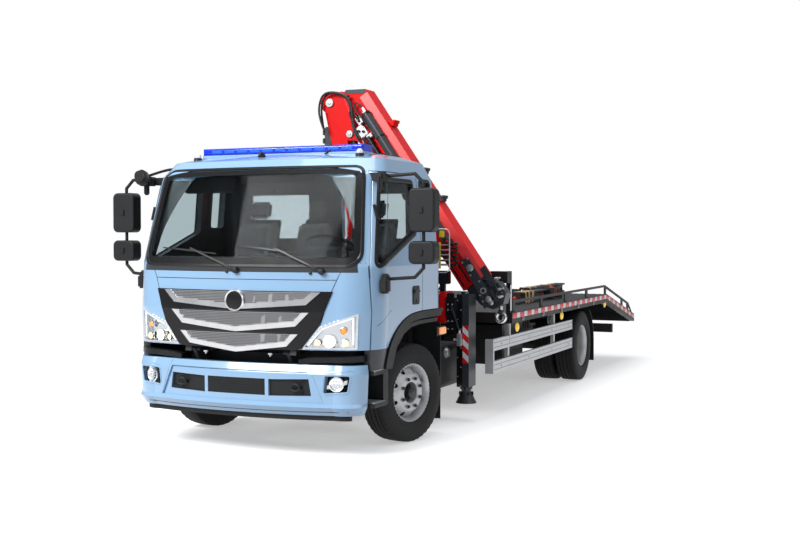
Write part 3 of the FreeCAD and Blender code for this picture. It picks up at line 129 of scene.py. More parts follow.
world = bpy.data.worlds.new("studio")
bpy.context.scene.world = world
world.use_nodes = True
tree = world.node_tree
tree.nodes.clear()
sky = add(tree, "ShaderNodeBackground", Color=(0.9, 0.94, 1.0, 1), Strength=0.42)
backdrop = add(tree, "ShaderNodeBackground", Color=(1, 1, 1, 1), Strength=1.0)
choice = add(tree, "ShaderNodeMixShader")
path = add(tree, "ShaderNodeLightPath")
through = add(tree, "ShaderNodeMath", operation="MAXIMUM")
out = add(tree, "ShaderNodeOutputWorld")
for wire in ((path, "Is Camera Ray", through, 0), (path, "Is Transmission Ray", through, 1),
             (through, 0, choice, 0), (sky, 0, choice, 1), (backdrop, 0, choice, 2),
             (choice, 0, out, "Surface")):
    link(tree, *wire)


def soft_box(name, place, aim, size, power):
    light = bpy.data.objects.new(name, bpy.data.lights.new(name, "AREA"))
    light.data.shape = "RECTANGLE"
    light.data.size, light.data.size_y = size
    light.data.energy = power
    light.location = place
    light.rotation_euler = (Vector(aim) - Vector(place)).to_track_quat("-Z", "Y").to_euler()
    bpy.context.collection.objects.link(light)


soft_box("key_box", (-3.0, -11.5, 7.5), (0, -2.5, 1.2), (6.0, 4.0), 1500)
soft_box("side_box", (9.0, -3.5, 6.5), (0, -0.5, 1.0), (7.0, 5.0), 150)
soft_box("top_box", (0.0, 0.5, 9.5), (0, 0, 1.0), (6.0, 9.0), 480)


# Finishes are procedural: broad mottling in colour and roughness, a fine bump, and, where
# asked, road dust that fades upwards or painted shade: dark grey on the faces that look inwards, low down and
# behind the windscreen.
def feed(tree, given, socket):
    if isinstance(given, bpy.types.NodeSocket):
        tree.links.new(given, socket)
    else:
        socket.default_value = given


def compute(tree, operation, *given, kind="ShaderNodeMath"):
    node = add(tree, kind, operation=operation)
    for value, socket in zip(given, node.inputs):
        feed(tree, value, socket)
    return node


def blended(tree, share, first, second):
    mix = add(tree, "ShaderNodeMix", data_type="RGBA")
    mix.inputs["B"].default_value = list(second) + [1]
    feed(tree, share, mix.inputs["Factor"])
    feed(tree, first, mix.inputs["A"])
    return [o for o in mix.outputs if o.name == "Result" and o.enabled][0]


# Painted shade: faces turned inwards, the skin below the cab floor line and the shell behind the windscreen get a
# dark grey with no clear coat.
def darken_shaded_faces(tree, place, colour_out, skin, centre, colour):
    turned_in, floor_top, screen_front, screen_middle, screen_reach = -0.02, 0.815, -3.4, 1.75, 0.36
    pillar_lean, pillar_x = 0.118, 1.112
    parts = add(tree, "ShaderNodeSeparateXYZ")
    feed(tree, place, parts.inputs[0])
    x, y, z = parts.outputs
    way = compute(tree, "SUBTRACT", place, centre, kind="ShaderNodeVectorMath").outputs[0]
    normal = add(tree, "ShaderNodeNewGeometry").outputs["True Normal"]
    facing_out = compute(tree, "DOT_PRODUCT", way, normal, kind="ShaderNodeVectorMath").outputs["Value"]
    inner = compute(tree, "LESS_THAN", facing_out, turned_in).outputs[0]
    low = compute(tree, "LESS_THAN", z, floor_top).outputs[0]
    across = compute(tree, "ABSOLUTE", x).outputs[0]
    slanted = compute(tree, "MULTIPLY_ADD", z, pillar_lean, across).outputs[0]
    within = compute(tree, "LESS_THAN", slanted, pillar_x).outputs[0]
    height = compute(tree, "COMPARE", z, screen_middle, screen_reach).outputs[0]
    ahead = compute(tree, "LESS_THAN", y, screen_front).outputs[0]
    framed = compute(tree, "MULTIPLY", compute(tree, "MULTIPLY", within, height).outputs[0], ahead).outputs[0]
    either = compute(tree, "MAXIMUM", inner, low).outputs[0]
    dark = compute(tree, "MAXIMUM", either, framed).outputs[0]
    shine = add(tree, "ShaderNodeMapRange", To_Min=skin.inputs["Coat Weight"].default_value, To_Max=0.0)
    feed(tree, dark, shine.inputs["Value"])
    feed(tree, shine.outputs[0], skin.inputs["Coat Weight"])
    return blended(tree, dark, colour_out, colour)


slot_of = {}


def finish(name, colour, roughness, metallic=0.0, mottle=0.06, grain=6.0, bump=0.02, fine=260.0,
           coat=0.0, rough_spread=0.08, dust=None, dust_height=0.0, lining=None, slot=None, **shader):
    material, tree = new_material(name)
    slot_of[material.name] = slot
    place = add(tree, "ShaderNodeTexCoord").outputs["Object"]
    broad = add(tree, "ShaderNodeTexNoise", Scale=grain, Detail=5.0)
    small = add(tree, "ShaderNodeTexNoise", Scale=fine, Detail=3.0)
    ramp = add(tree, "ShaderNodeValToRGB")
    low, high = ramp.color_ramp.elements
    low.position, high.position = 0.3, 0.7
    low.color = [c * (1 - mottle) for c in colour] + [1]
    high.color = [min(1, c * (1 + mottle)) for c in colour] + [1]
    spread = add(tree, "ShaderNodeMapRange", To_Min=max(0.02, roughness - rough_spread),
                 To_Max=min(1, roughness + rough_spread))
    relief = add(tree, "ShaderNodeBump", Strength=bump, Distance=0.002)
    skin = add(tree, "ShaderNodeBsdfPrincipled", Metallic=metallic, Coat_Weight=coat, **shader)
    out = add(tree, "ShaderNodeOutputMaterial")
    for noise in (broad, small):
        feed(tree, place, noise.inputs["Vector"])
    for wire in ((broad, "Fac", ramp, "Fac"), (broad, "Fac", spread, "Value"),
                 (small, "Fac", relief, "Height")):
        link(tree, *wire)
    colour_out = ramp.outputs["Color"]
    if dust:
        height = add(tree, "ShaderNodeSeparateXYZ")
        feed(tree, place, height.inputs[0])
        rise = add(tree, "ShaderNodeMapRange", From_Min=dust_height, From_Max=0.0, To_Max=0.75)
        link(tree, height, "Z", rise, "Value")
        share = compute(tree, "MULTIPLY", rise.outputs[0], broad.outputs["Fac"]).outputs[0]
        colour_out = blended(tree, share, colour_out, dust)
    if lining:
        colour_out = darken_shaded_faces(tree, place, colour_out, skin, *lining)
    feed(tree, colour_out, skin.inputs["Base Color"])
    for wire in ((spread, 0, skin, "Roughness"), (relief, 0, skin, "Normal"), (skin, 0, out, "Surface")):
        link(tree, *wire)
    return material


def dress(material, *names):
    for name in names:
        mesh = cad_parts[name].data
        mesh.materials.clear()
        mesh.materials.append(material)


# Cab body: pressed steel panels in pale blue gloss paint over primer, clear coated.
# The shell, both doors, the bumper and the light bar's mount are the CAD pieces themselves.
def blue_coat(name, **rest):
    return finish(name, (0.25, 0.415, 0.61), 0.3, mottle=0.02, grain=1.5, bump=0.015, fine=900.0, coat=0.9,
                  rough_spread=0.03, Coat_Roughness=0.06, **rest)


# The shell and the doors take painted shade in dark grey where they face inwards, sit low or stand behind the
# windscreen.
shade_colour = (0.035, 0.037, 0.04)
blue_paint = blue_coat("pale_blue_paint", slot="body_paint")
cab_paint = blue_coat("cab_paint", lining=((0, -3.25, 1.75), shade_colour))
door_paint = {side: blue_coat("door_paint_" + side, lining=((0, -3.3, 1.9), shade_colour)) for side in ("left",
                                                                                                       "right")}
dress(cab_paint, "cab_shell")
dress(door_paint["left"], "door_left")
dress(door_paint["right"], "door_right")
dress(blue_paint, "front_bumper", "light_bar_mount")


# Everything else in its plain finish, dressed further on in its own section.
black_plastic = finish("black_moulded_plastic", (0.009, 0.0095, 0.0105), 0.52, bump=0.12, fine=700.0,
                       Specular_IOR_Level=0.3, slot="black_plastic")
gloss_black = finish("gloss_black", (0.006, 0.006, 0.007), 0.24, bump=0.02, Specular_IOR_Level=0.35,
                     slot="crane_black")
silver_trim = finish("silver_trim", (0.62, 0.63, 0.65), 0.28, metallic=0.9, bump=0.03, slot="silver_trim")
glass_tint = finish("tinted_glass", (0.62, 0.69, 0.71), 0.03, mottle=0.01, bump=0.0, rough_spread=0.02,
                    Transmission_Weight=1.0, IOR=1.1)
tyre_rubber = finish("tyre_rubber", (0.013, 0.013, 0.0135), 0.72, bump=0.2, fine=300.0, Specular_IOR_Level=0.3,
                     dust=(0.05, 0.048, 0.044), dust_height=0.4, slot="tyre")
wheel_silver = finish("wheel_silver", (0.52, 0.52, 0.53), 0.42, metallic=0.5, bump=0.05, slot="wheel_steel")
chassis_black = finish("chassis_black", (0.009, 0.009, 0.01), 0.5, bump=0.15, fine=120.0, Specular_IOR_Level=0.35,
                       slot="frame_paint")
cast_black = finish("cast_axle_black", (0.014, 0.014, 0.015), 0.6, bump=0.3, fine=90.0, Specular_IOR_Level=0.35)
crane_red = finish("crane_red", (0.72, 0.006, 0.006), 0.42, mottle=0.04, grain=3.0, bump=0.03, coat=0.04,
                   Specular_IOR_Level=0.12, slot="crane_red")
crane_grey = finish("crane_dark_grey", (0.013, 0.014, 0.016), 0.42, bump=0.1, Specular_IOR_Level=0.35)
guard_alu = finish("guard_aluminium", (0.55, 0.56, 0.57), 0.42, metallic=0.7, bump=0.1, fine=150.0)
bright_steel = finish("bright_steel", (0.6, 0.6, 0.6), 0.2, metallic=1.0, bump=0.03)
deck_black = finish("deck_black", (0.022, 0.022, 0.024), 0.55, mottle=0.35, bump=0.3, fine=70.0, slot="deck_steel")
seat_grey = finish("seat_grey", (0.16, 0.165, 0.17), 0.8, bump=0.3, fine=500.0)
blue_lens = finish("blue_beacon_lens", (0.0, 0.025, 0.62), 0.14, coat=0.5)
red_lens = finish("red_lens", (0.5, 0.01, 0.01), 0.2, coat=0.5)
lamp_chrome = finish("lamp_chrome", (0.8, 0.8, 0.8), 0.12, metallic=1.0, slot="lamp_chrome")
lamp_glass = finish("clear_lamp_glass", (0.95, 0.97, 1.0), 0.03, mottle=0.0, bump=0.0, rough_spread=0.01,
                    Transmission_Weight=1.0, IOR=1.08)

dress(glass_tint, "windscreen", "door_glass_left", "door_glass_right", "cab_windows")
dress(black_plastic, "mirror_left", "mirror_right", "front_mudguards", "rear_mudguards", "bumper_inserts",
      "wipers", "steering_wheel")
dress(gloss_black, "grille_panel")
dress(tyre_rubber, "tyre_front_left", "tyre_front_right", "tyres_rear_left", "tyres_rear_right")
dress(wheel_silver, "rim_front_left", "rim_front_right", "rims_rear_left", "rims_rear_right")
dress(chassis_black, "chassis_frame", "bed_frame", "rear_underrun", "bed_rails", "side_boxes")
dress(cast_black, "knuckle_left", "knuckle_right", "front_axle", "rear_axle", "engine")
dress(crane_red, "inner_boom", "outer_boom", "crane_column")
dress(crane_grey, "lift_barrel", "fold_barrel")
dress(guard_alu, "side_guards")
dress(bright_steel, "lift_rod", "fold_rod", "hook")
dress(deck_black, "deck_plate")
dress(seat_grey, "seats")
dress(blue_lens, "light_bar")
dress(red_lens, "tail_lamps")
dress(lamp_chrome, "headlamp_bowls")
dress(lamp_glass, "headlamp_lenses", "fog_lamps")


# Wheels: 17.5 inch steel discs on 797 mm road tyres, the rear ones in pairs that turn as one.
# Tyres are moulded rubber with four grooves; discs are pressed, painted silver, eight nuts each.
both_sides = ((1, "left"), (-1, "right"))
move = Matrix.Translation


def turned(profile, steps, dips=None):
    mesh = bmesh.new()
    rings = []
    for number in range(steps):
        turn = 2 * math.pi * number / steps
        ring = []
        for place, (x, r) in enumerate(profile):
            r -= dips(place, number) if dips else 0
            ring.append(mesh.verts.new((x, r * math.cos(turn), r * math.sin(turn))))
        rings.append(ring)
    for number, ring in enumerate(rings):
        after = rings[(number + 1) % steps]
        for a in range(len(profile) - 1):
            mesh.faces.new((ring[a], ring[a + 1], after[a + 1], after[a]))
    bmesh.ops.remove_doubles(mesh, verts=mesh.verts, dist=1e-6)
    bmesh.ops.recalc_face_normals(mesh, faces=mesh.faces)
    return mesh


def carried(thing, body, slot, finish_used):
    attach(thing, body)
    slot = slot or slot_of[finish_used.name]


def piece(name, made, finish_used, body, slot=None, replaces=(), angle=35, where=None):
    if where is not None:
        bmesh.ops.transform(made, matrix=where, verts=made.verts)
    mesh = bpy.data.meshes.new(name)
    made.to_mesh(mesh)
    made.free()
    mesh.materials.append(finish_used)
    mesh.shade_smooth()
    mesh.set_sharp_from_angle(angle=math.radians(angle))
    thing = bpy.data.objects.new(name, mesh)
    bpy.context.collection.objects.link(thing)
    carried(thing, body, slot, finish_used)
    if replaces:
        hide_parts(*replaces)
    return thing


def facing(centre, outward):
    out = Vector(outward).normalized()
    side = Vector((0, 0, 1)).cross(out).normalized()
    up = out.cross(side)
    return move(centre) @ Matrix((out, side, up)).transposed().to_4x4()


tread = [(0, 398.5), (19, 398.4), (20.5, 389), (27, 389), (28.5, 398.2), (57, 397.6), (58.5, 388.5), (65, 388.5),
         (66.5, 397), (91, 395.2), (98, 392.5), (101.5, 388), (104, 382), (105, 380.5), (105.2, 376), (108, 371),
         (112.5, 352), (116, 328), (117.3, 306), (116, 288), (113.5, 280), (113.2, 277.5), (114.5, 275.5),
         (112, 261), (106.5, 247), (101.5, 240), (99, 236), (90, 230)]
tread_profile = [(-x / 1000, r / 1000) for x, r in reversed(tread)] + [(x / 1000, r / 1000) for x, r in tread[1:]]
shoulder_places = [i for i, (x, r) in enumerate(tread_profile) if 0.0905 < abs(x) < 0.1045]
tyre_steps = 176


def tread_dips(place, number):
    return 0.006 if place in shoulder_places and number % 4 == 0 else 0.0


def tyre(name, centre, outward, body, node):
    return piece(name, turned(tread_profile, tyre_steps, tread_dips), tyre_rubber, body, replaces=[node], angle=30,
                 where=facing(centre, outward))


repeat_tree = bpy.data.node_groups.new("repeat_on_points", "GeometryNodeTree")
for socket, kind in (("Geometry", "NodeSocketGeometry"), ("Thing", "NodeSocketObject"),
                     ("Size", "NodeSocketFloat"), ("Finish", "NodeSocketMaterial")):
    repeat_tree.interface.new_socket(socket, in_out="INPUT", socket_type=kind)
repeat_tree.interface.new_socket("Geometry", in_out="OUTPUT", socket_type="NodeSocketGeometry")
given = repeat_tree.nodes.new("NodeGroupInput")
result = repeat_tree.nodes.new("NodeGroupOutput")
info = repeat_tree.nodes.new("GeometryNodeObjectInfo")
scatter = repeat_tree.nodes.new("GeometryNodeInstanceOnPoints")
named = repeat_tree.nodes.new("GeometryNodeInputNamedAttribute")
named.data_type = "FLOAT_VECTOR"
named.inputs["Name"].default_value = "facing"
align = repeat_tree.nodes.new("FunctionNodeAlignRotationToVector")
align.axis = "Z"
real = repeat_tree.nodes.new("GeometryNodeRealizeInstances")
painted = repeat_tree.nodes.new("GeometryNodeSetMaterial")
for source, output, target, socket in (
        (given, "Geometry", scatter, "Points"), (given, "Thing", info, "Object"), (given, "Size", scatter, "Scale"),
        (info, "Geometry", scatter, "Instance"), (named, "Attribute", align, "Vector"),
        (align, "Rotation", scatter, "Rotation"), (scatter, "Instances", real, "Geometry"),
        (real, "Geometry", painted, "Geometry"), (given, "Finish", painted, "Material"),
        (painted, "Geometry", result, "Geometry")):
    repeat_tree.links.new(source.outputs[output], target.inputs[socket])


def repeat(name, thing, points, facings, finish_used, body, slot=None, size=1.0, angle=35):
    pattern = bpy.data.meshes.new(name + "_pattern")
    thing.to_mesh(pattern)
    thing.free()
    sample = bpy.data.objects.new(name + "_pattern", pattern)
    places = bpy.data.meshes.new(name + "_places")
    places.from_pydata([tuple(p) for p in points], [], [])
    aim = places.attributes.new("facing", "FLOAT_VECTOR", "POINT")
    each = [facings] * len(points) if isinstance(facings, Vector) else facings
    aim.data.foreach_set("vector", [c for f in each for c in f])
    base = bpy.data.objects.new(name + "_places", places)
    for extra in (sample, base):
        bpy.context.collection.objects.link(extra)
    change = base.modifiers.new("repeat", "NODES")
    change.node_group = repeat_tree
    values = {"Thing": sample, "Size": size, "Finish": finish_used}
    for socket in repeat_tree.interface.items_tree:
        if socket.in_out == "INPUT" and socket.name in values:
            change[socket.identifier] = values[socket.name]
    bpy.context.view_layer.update()
    seen_now = base.evaluated_get(bpy.context.evaluated_depsgraph_get())
    mesh = bpy.data.meshes.new_from_object(seen_now)
    base.modifiers.clear()
    for extra in (sample, base):
        bpy.data.objects.remove(extra)
    mesh.name = name
    mesh.shade_smooth()
    mesh.set_sharp_from_angle(angle=math.radians(angle))
    made = bpy.data.objects.new(name, mesh)
    bpy.context.collection.objects.link(made)
    carried(made, body, slot, finish_used)
    return made


def drum(sides, radius, height, taper=1.0, bevel=0.0):
    shape = bmesh.new()
    bmesh.ops.create_cone(shape, cap_ends=True, segments=sides, radius1=radius, radius2=radius * taper,
                          depth=height, matrix=move((0, 0, height / 2)))
    if bevel:
        top = [e for e in shape.edges if all(v.co.z > height * 0.9 for v in e.verts)]
        bmesh.ops.bevel(shape, geom=top, offset=bevel, segments=2, affect="EDGES")
    return shape


def ring_places(centre, outward, depth, radius, count, first=0.0):
    frame_of = facing(centre, outward)
    turns = [2 * math.pi * (n + first) / count for n in range(count)]
    return [frame_of @ Vector((depth, radius * math.cos(t), radius * math.sin(t))) for t in turns]


def with_holes(shape, profile_radius, hole_radius, count, depth_span):
    centres = [Vector((0, profile_radius * math.cos(2 * math.pi * n / count + 0.39),
                       profile_radius * math.sin(2 * math.pi * n / count + 0.39))) for n in range(count)]
    doomed = []
    for face in shape.faces:
        middle_point = face.calc_center_median()
        if not depth_span[0] < middle_point.x < depth_span[1]:
            continue
        flat = Vector((0, middle_point.y, middle_point.z))
        if min((flat - c).length for c in centres) < hole_radius:
            doomed.append(face)
    bmesh.ops.delete(shape, geom=doomed, context="FACES")
    edge_verts = {v for e in shape.edges if e.is_boundary for v in e.verts}
    for vert in edge_verts:
        flat = Vector((0, vert.co.y, vert.co.z))
        near = min(centres, key=lambda c: (flat - c).length)
        if depth_span[0] < vert.co.x < depth_span[1] and (flat - near).length < hole_radius * 1.4:
            push = (flat - near).normalized() * hole_radius + near
            vert.co.y, vert.co.z = push.y, push.z
    return shape


def fine(points, step=0.005):
    dense = [points[0]]
    for a, b in zip(points, points[1:]):
        parts = max(1, int(math.dist(a, b) / step))
        dense += [tuple(p + (q - p) * n / parts for p, q in zip(a, b)) for n in range(1, parts + 1)]
    return dense


tyre_r, king_x, wheel_offset, park = 0.3985, 0.82, 0.1, math.radians(15)
axle_y, rear_y, rear_out_x, twin_gap = -2.94, 1.46, 1.14, 0.262
hub_black = finish("hub_black", (0.02, 0.02, 0.022), 0.35, bump=0.08, slot="axle_steel")
front_disc = [(-0.0975, 0.2355), (-0.0975, 0.2225), (-0.075, 0.2115), (-0.03, 0.205), (0.02, 0.2035),
              (0.034, 0.2005)]
front_lip = [(0.034, 0.2035), (0.06, 0.208), (0.078, 0.2135), (0.09, 0.2225), (0.0975, 0.229), (0.0985, 0.2335),
             (0.0975, 0.2358), (0.0925, 0.2345), (0.086, 0.2255)]
front_face = fine([(0.034, 0.2035), (0.04, 0.1985), (0.052, 0.188), (0.066, 0.174), (0.077, 0.161)], 0.0045) + [
    (0.084, 0.153), (0.0875, 0.147), (0.0885, 0.141), (0.0885, 0.094), (0.0875, 0.086), (0.083, 0.083),
    (0.03, 0.083)]
hub_front = [(0.03, 0.083), (0.032, 0.06), (0.045, 0.052), (0.05, 0.047), (0.088, 0.045), (0.1, 0.041),
             (0.103, 0.03), (0.108, 0.024), (0.111, 0.012), (0.1115, 0.0002)]
for side, letter in both_sides:
    body = "front_%s_wheel" % letter
    centre = Vector((side * (king_x + wheel_offset * math.cos(park)), axle_y - side * wheel_offset * math.sin(park),
                     tyre_r))
    outward = Vector((side * math.cos(park), -side * math.sin(park), 0))
    where = facing(centre, outward)
    tyre("tyre_tread_front_" + letter, centre, outward, body, "tyre_front_" + letter)
    disc = with_holes(turned(front_face, 144), 0.182, 0.0185, 8, (0.036, 0.074))
    piece("disc_front_" + letter, disc, wheel_silver, body, replaces=["rim_front_" + letter], where=where)
    piece("rim_lip_front_" + letter, turned(front_disc[:-1] + front_lip, 96), wheel_silver, body, where=where)
    piece("hub_front_" + letter, turned(hub_front, 48), hub_black, body, where=where)
    drum_back = [(0.03, 0.083), (0.03, 0.165), (-0.06, 0.165), (-0.06, 0.04)]
    piece("brake_drum_front_" + letter, turned(drum_back, 48), hub_black, body, where=where)
    spots = ring_places(centre, outward, 0.0885, 0.118, 8, 0.5)
    repeat("wheel_nuts_front_" + letter, drum(6, 0.0165, 0.014, 0.92, 0.002), spots, outward, wheel_silver, body)
    repeat("nut_caps_front_" + letter, drum(16, 0.015, 0.026, 0.8, 0.004), spots, outward, hub_black, body)
    body = "rear_%s_wheels" % letter
    outward = Vector((side, 0, 0))
    pair_centres = [Vector((side * rear_out_x, rear_y, tyre_r)),
                    Vector((side * (rear_out_x - twin_gap), rear_y, tyre_r))]
    where = facing(pair_centres[0], outward)
    for number, spot in enumerate(pair_centres):
        twin = turned(tread_profile, tyre_steps, tread_dips)
        piece("tyre_tread_rear_%s_%d" % (letter, number), twin, tyre_rubber, body, replaces=["tyres_rear_" + letter]
              if number == 0 else (), angle=30, where=facing(spot, outward))
    deep = [(-0.0975, 0.2355), (-0.0975, 0.2225), (-0.085, 0.212), (-0.03, 0.2045), (0.05, 0.2065)] + front_lip[1:]
    piece("rim_rear_" + letter, turned(deep, 96), wheel_silver, body, replaces=["rims_rear_" + letter], where=where)
    well = fine([(-0.028, 0.2045), (-0.045, 0.19), (-0.075, 0.17), (-0.098, 0.155)], 0.0045) + [
        (-0.108, 0.148), (-0.112, 0.14), (-0.112, 0.095), (-0.11, 0.088)]
    disc = with_holes(turned(well, 144), 0.18, 0.019, 8, (-0.088, -0.04))
    piece("disc_rear_" + letter, disc, wheel_silver, body, where=where)
    hub = [(-0.13, 0.12), (-0.125, 0.094), (-0.02, 0.09), (0.0, 0.086), (0.008, 0.074), (0.01, 0.05),
           (0.012, 0.0002)]
    piece("hub_rear_" + letter, turned(hub, 48), hub_black, body, where=where)
    spots = ring_places(pair_centres[0], outward, -0.112, 0.118, 8, 0.5)
    repeat("wheel_nuts_rear_" + letter, drum(6, 0.0165, 0.03, 0.92, 0.002), spots, outward, wheel_silver, body)
    where = facing(pair_centres[1], -outward)
    piece("rim_twin_" + letter, turned(deep, 96), wheel_silver, body, where=where)
    web = [(0.05, 0.2065), (-0.01, 0.18), (-0.03, 0.15), (-0.03, 0.0621)]
    piece("disc_twin_" + letter, turned(web, 72), wheel_silver, body, where=where)
    brake = [(0.0, 0.0621), (0.0, 0.165), (0.1, 0.165), (0.1, 0.0621)]
    piece("brake_drum_rear_" + letter, turned(brake, 48), hub_black, body, where=where)


# Tools for the fittings below: rays that find the CAD skin, strips and patches laid on it,
# plates, rounded cases and hoses. Each fitting's sizes and colours stand with its own call.
def skin(*names):
    points, faces = [], []
    for name in names:
        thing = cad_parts[name]
        base = len(points)
        points += [thing.matrix_world @ v.co for v in thing.data.vertices]
        faces += [[base + i for i in p.vertices] for p in thing.data.polygons]
    return BVHTree.FromPolygons(points, faces)


def laid(tree, starts, aim, lift=0.0):
    aim, found = Vector(aim), []
    for start in starts:
        hit, normal, number, distance = tree.ray_cast(Vector(start), aim)
        if hit is not None:
            normal = -normal if normal.dot(aim) > 0 else normal
            found.append((hit + normal * lift, normal))
    return found


def rounded(corners, radius, steps=5):
    smooth = []
    for number, corner in enumerate(corners):
        here = Vector(corner)
        back, ahead = Vector(corners[number - 1]) - here, Vector(corners[(number + 1) % len(corners)]) - here
        reach = min(radius / math.tan(back.angle(ahead) / 2), 0.45 * min(back.length, ahead.length))
        first, last = here + back.normalized() * reach, here + ahead.normalized() * reach
        for step in range(steps + 1):
            share = step / steps
            smooth.append(tuple(first * (1 - share) ** 2 + here * 2 * share * (1 - share) + last * share ** 2))
    return smooth


def even(points, step, closed=False):
    ends = list(points) + ([points[0]] if closed else [])
    dense = fine([tuple(p) for p in ends], step)
    return dense[:-1] if closed else dense


def tidy(shape):
    bmesh.ops.remove_doubles(shape, verts=shape.verts, dist=1e-6)
    bmesh.ops.recalc_face_normals(shape, faces=shape.faces)
    return shape


def rings_to_skin(shape, rings, closed):
    count = len(rings)
    for number in range(count if closed else count - 1):
        ring, after = rings[number], rings[(number + 1) % count]
        for a in range(len(ring)):
            b = (a + 1) % len(ring)
            shape.faces.new((ring[a], ring[b], after[b], after[a]))
    if not closed:
        shape.faces.new(rings[0][::-1])
        shape.faces.new(rings[-1])
    bmesh.ops.recalc_face_normals(shape, faces=shape.faces)
    return shape


def ribbon(spots, width, depth, closed=False, sink=0.002, crown=0.75):
    shape, rings, count = bmesh.new(), [], len(spots)
    section = ((-1, -sink), (-1, depth * 0.5), (-crown, depth), (crown, depth), (1, depth * 0.5), (1, -sink))
    for number, (point, normal) in enumerate(spots):
        back = spots[number - 1][0] if closed or number else point
        ahead = spots[(number + 1) % count][0] if closed or number < count - 1 else point
        side = (ahead - back).cross(normal).normalized()
        rings.append([shape.verts.new(point + side * a * width / 2 + normal * b) for a, b in section])
    return rings_to_skin(shape, rings, closed)


def plate(outline, thickness, bevel=0.0):
    shape = bmesh.new()
    face = shape.faces.new([shape.verts.new((x, y, 0)) for x, y in outline])
    made = bmesh.ops.extrude_face_region(shape, geom=[face])
    top = [v for v in made["geom"] if isinstance(v, bmesh.types.BMVert)]
    bmesh.ops.translate(shape, vec=(0, 0, thickness), verts=top)
    if bevel:
        edges = [e for e in shape.edges if all(v in top for v in e.verts)]
        bmesh.ops.bevel(shape, geom=edges, offset=bevel, segments=2, affect="EDGES")
    bmesh.ops.recalc_face_normals(shape, faces=shape.faces)
    return shape


def case(size, bevel, segments=2):
    shape = bmesh.new()
    bmesh.ops.create_cube(shape, size=1)
    for vert in shape.verts:
        vert.co = [c * s for c, s in zip(vert.co, size)]
    bmesh.ops.bevel(shape, geom=shape.edges[:], offset=bevel, segments=segments, affect="EDGES")
    return shape


def block(size, bevel, place, segments=2):
    return case(size, bevel, segments), move(place)


def spun(profile, steps=24):
    shape = turned([(x, max(r, 1e-4)) for r, x in profile], steps)
    bmesh.ops.rotate(shape, cent=(0, 0, 0), matrix=Matrix.Rotation(math.radians(-90), 3, "Y"), verts=shape.verts)
    return shape


def rod(radius, long, sides):
    return spun([(0, 0), (radius, 0), (radius, long), (0, long)], sides)


def ring_band(inner, outer, low, high, sides):
    return spun([(inner, low), (outer, low), (outer, high), (inner, high), (inner, low)], sides)


def put(point, out=(0, -1, 0), up=(0, 0, 1), turn=0.0):
    out = Vector(out).normalized()
    across = Vector(up).cross(out).normalized()
    spin = Matrix.Rotation(turn, 4, "Z")
    return move(point) @ Matrix((across, out.cross(across), out)).transposed().to_4x4() @ spin


def gather(*parts):
    whole = bmesh.new()
    for part in parts:
        shape, where = part if isinstance(part, tuple) else (part, Matrix.Identity(4))
        bmesh.ops.transform(shape, matrix=where, verts=shape.verts)
        passing = bpy.data.meshes.new("passing")
        shape.to_mesh(passing)
        shape.free()
        whole.from_mesh(passing)
        bpy.data.meshes.remove(passing)
    return whole


def patch(outline, tree, aim, lift, thickness, step=0.03):
    shape, aim = bmesh.new(), Vector(aim)
    shape.faces.new([shape.verts.new(p) for p in outline])
    for axis in range(3):
        if abs(aim[axis]) > 0.5:
            continue
        low, high = min(p[axis] for p in outline), max(p[axis] for p in outline)
        cut = Vector((axis == 0, axis == 1, axis == 2))
        for number in range(1, int((high - low) / step) + 1):
            everything = shape.verts[:] + shape.edges[:] + shape.faces[:]
            bmesh.ops.bisect_plane(shape, geom=everything, plane_co=cut * (low + number * step), plane_no=cut)
    for vert in shape.verts:
        hit = laid(tree, [vert.co], aim, lift)
        if hit:
            vert.co = hit[0][0]
    made = bmesh.ops.extrude_face_region(shape, geom=shape.faces[:])
    top = [v for v in made["geom"] if isinstance(v, bmesh.types.BMVert)]
    bmesh.ops.translate(shape, vec=-aim * thickness, verts=top)
    bmesh.ops.recalc_face_normals(shape, faces=shape.faces)
    return shape


def hose(name, points, radius, finish_used, body, slot=None, smooth=True, closed=False):
    curve = bpy.data.curves.new(name, "CURVE")
    curve.dimensions = "3D"
    spline = curve.splines.new("NURBS" if smooth else "POLY")
    spline.points.add(len(points) - 1)
    for spot, point in zip(spline.points, points):
        spot.co = (*point, 1)
    spline.use_cyclic_u = closed
    if smooth:
        spline.order_u = 3
        spline.use_endpoint_u = not closed
    curve.resolution_u = 5
    curve.bevel_depth = radius
    curve.bevel_resolution = 2
    curve.use_fill_caps = True
    curve.materials.append(finish_used)
    thing = bpy.data.objects.new(name, curve)
    bpy.context.collection.objects.link(thing)
    if body:
        carried(thing, body, slot, finish_used)
    return thing


def from_front(points):
    return [(x, -6, z) for x, z in points]


def from_side(points, side=1):
    return [(side * 3.0, y, z) for y, z in points]


def circle(count, wide, high):
    turns = [n / count * math.tau for n in range(count)]
    return [(wide * math.cos(t), high * math.sin(t)) for t in turns]


def round_box(half_wide, half_high, radius, steps=5):
    corners = [(-half_wide, -half_high), (half_wide, -half_high), (half_wide, half_high), (-half_wide, half_high)]
    return rounded(corners, radius, steps)


# Cab skin details: dark seams between the panels, hood line and front corner panels,
# the windscreen's rubber and printed black band, door window rubbers and door handles.
front_skin = skin("cab_shell", "windscreen")
cab_only = skin("cab_shell")
side_skin = skin("cab_shell", "door_left", "door_right")
# Dark for the panel seams, and painted shade along the door creases.
seam_and_crease_shade = finish("seam_and_crease_shade", (0.012, 0.016, 0.022), 0.6, bump=0.02, slot="black_plastic")
rubber = finish("window_rubber", (0.008, 0.008, 0.009), 0.42, bump=0.1, fine=900.0, Specular_IOR_Level=0.3,
                slot="black_plastic")
frit = finish("printed_glass_band", (0.004, 0.004, 0.005), 0.5, bump=0.0, Specular_IOR_Level=0.2,
              slot="gloss_black")


def strip(name, starts, aim, tree, width, depth, finish_used, body, slot=None, closed=False, step=0.03, lift=0.0,
          crown=0.75):
    spots = laid(tree, even(starts, step, closed), aim, lift)
    return piece(name, ribbon(spots, width, depth, closed, crown=crown), finish_used, body, slot)


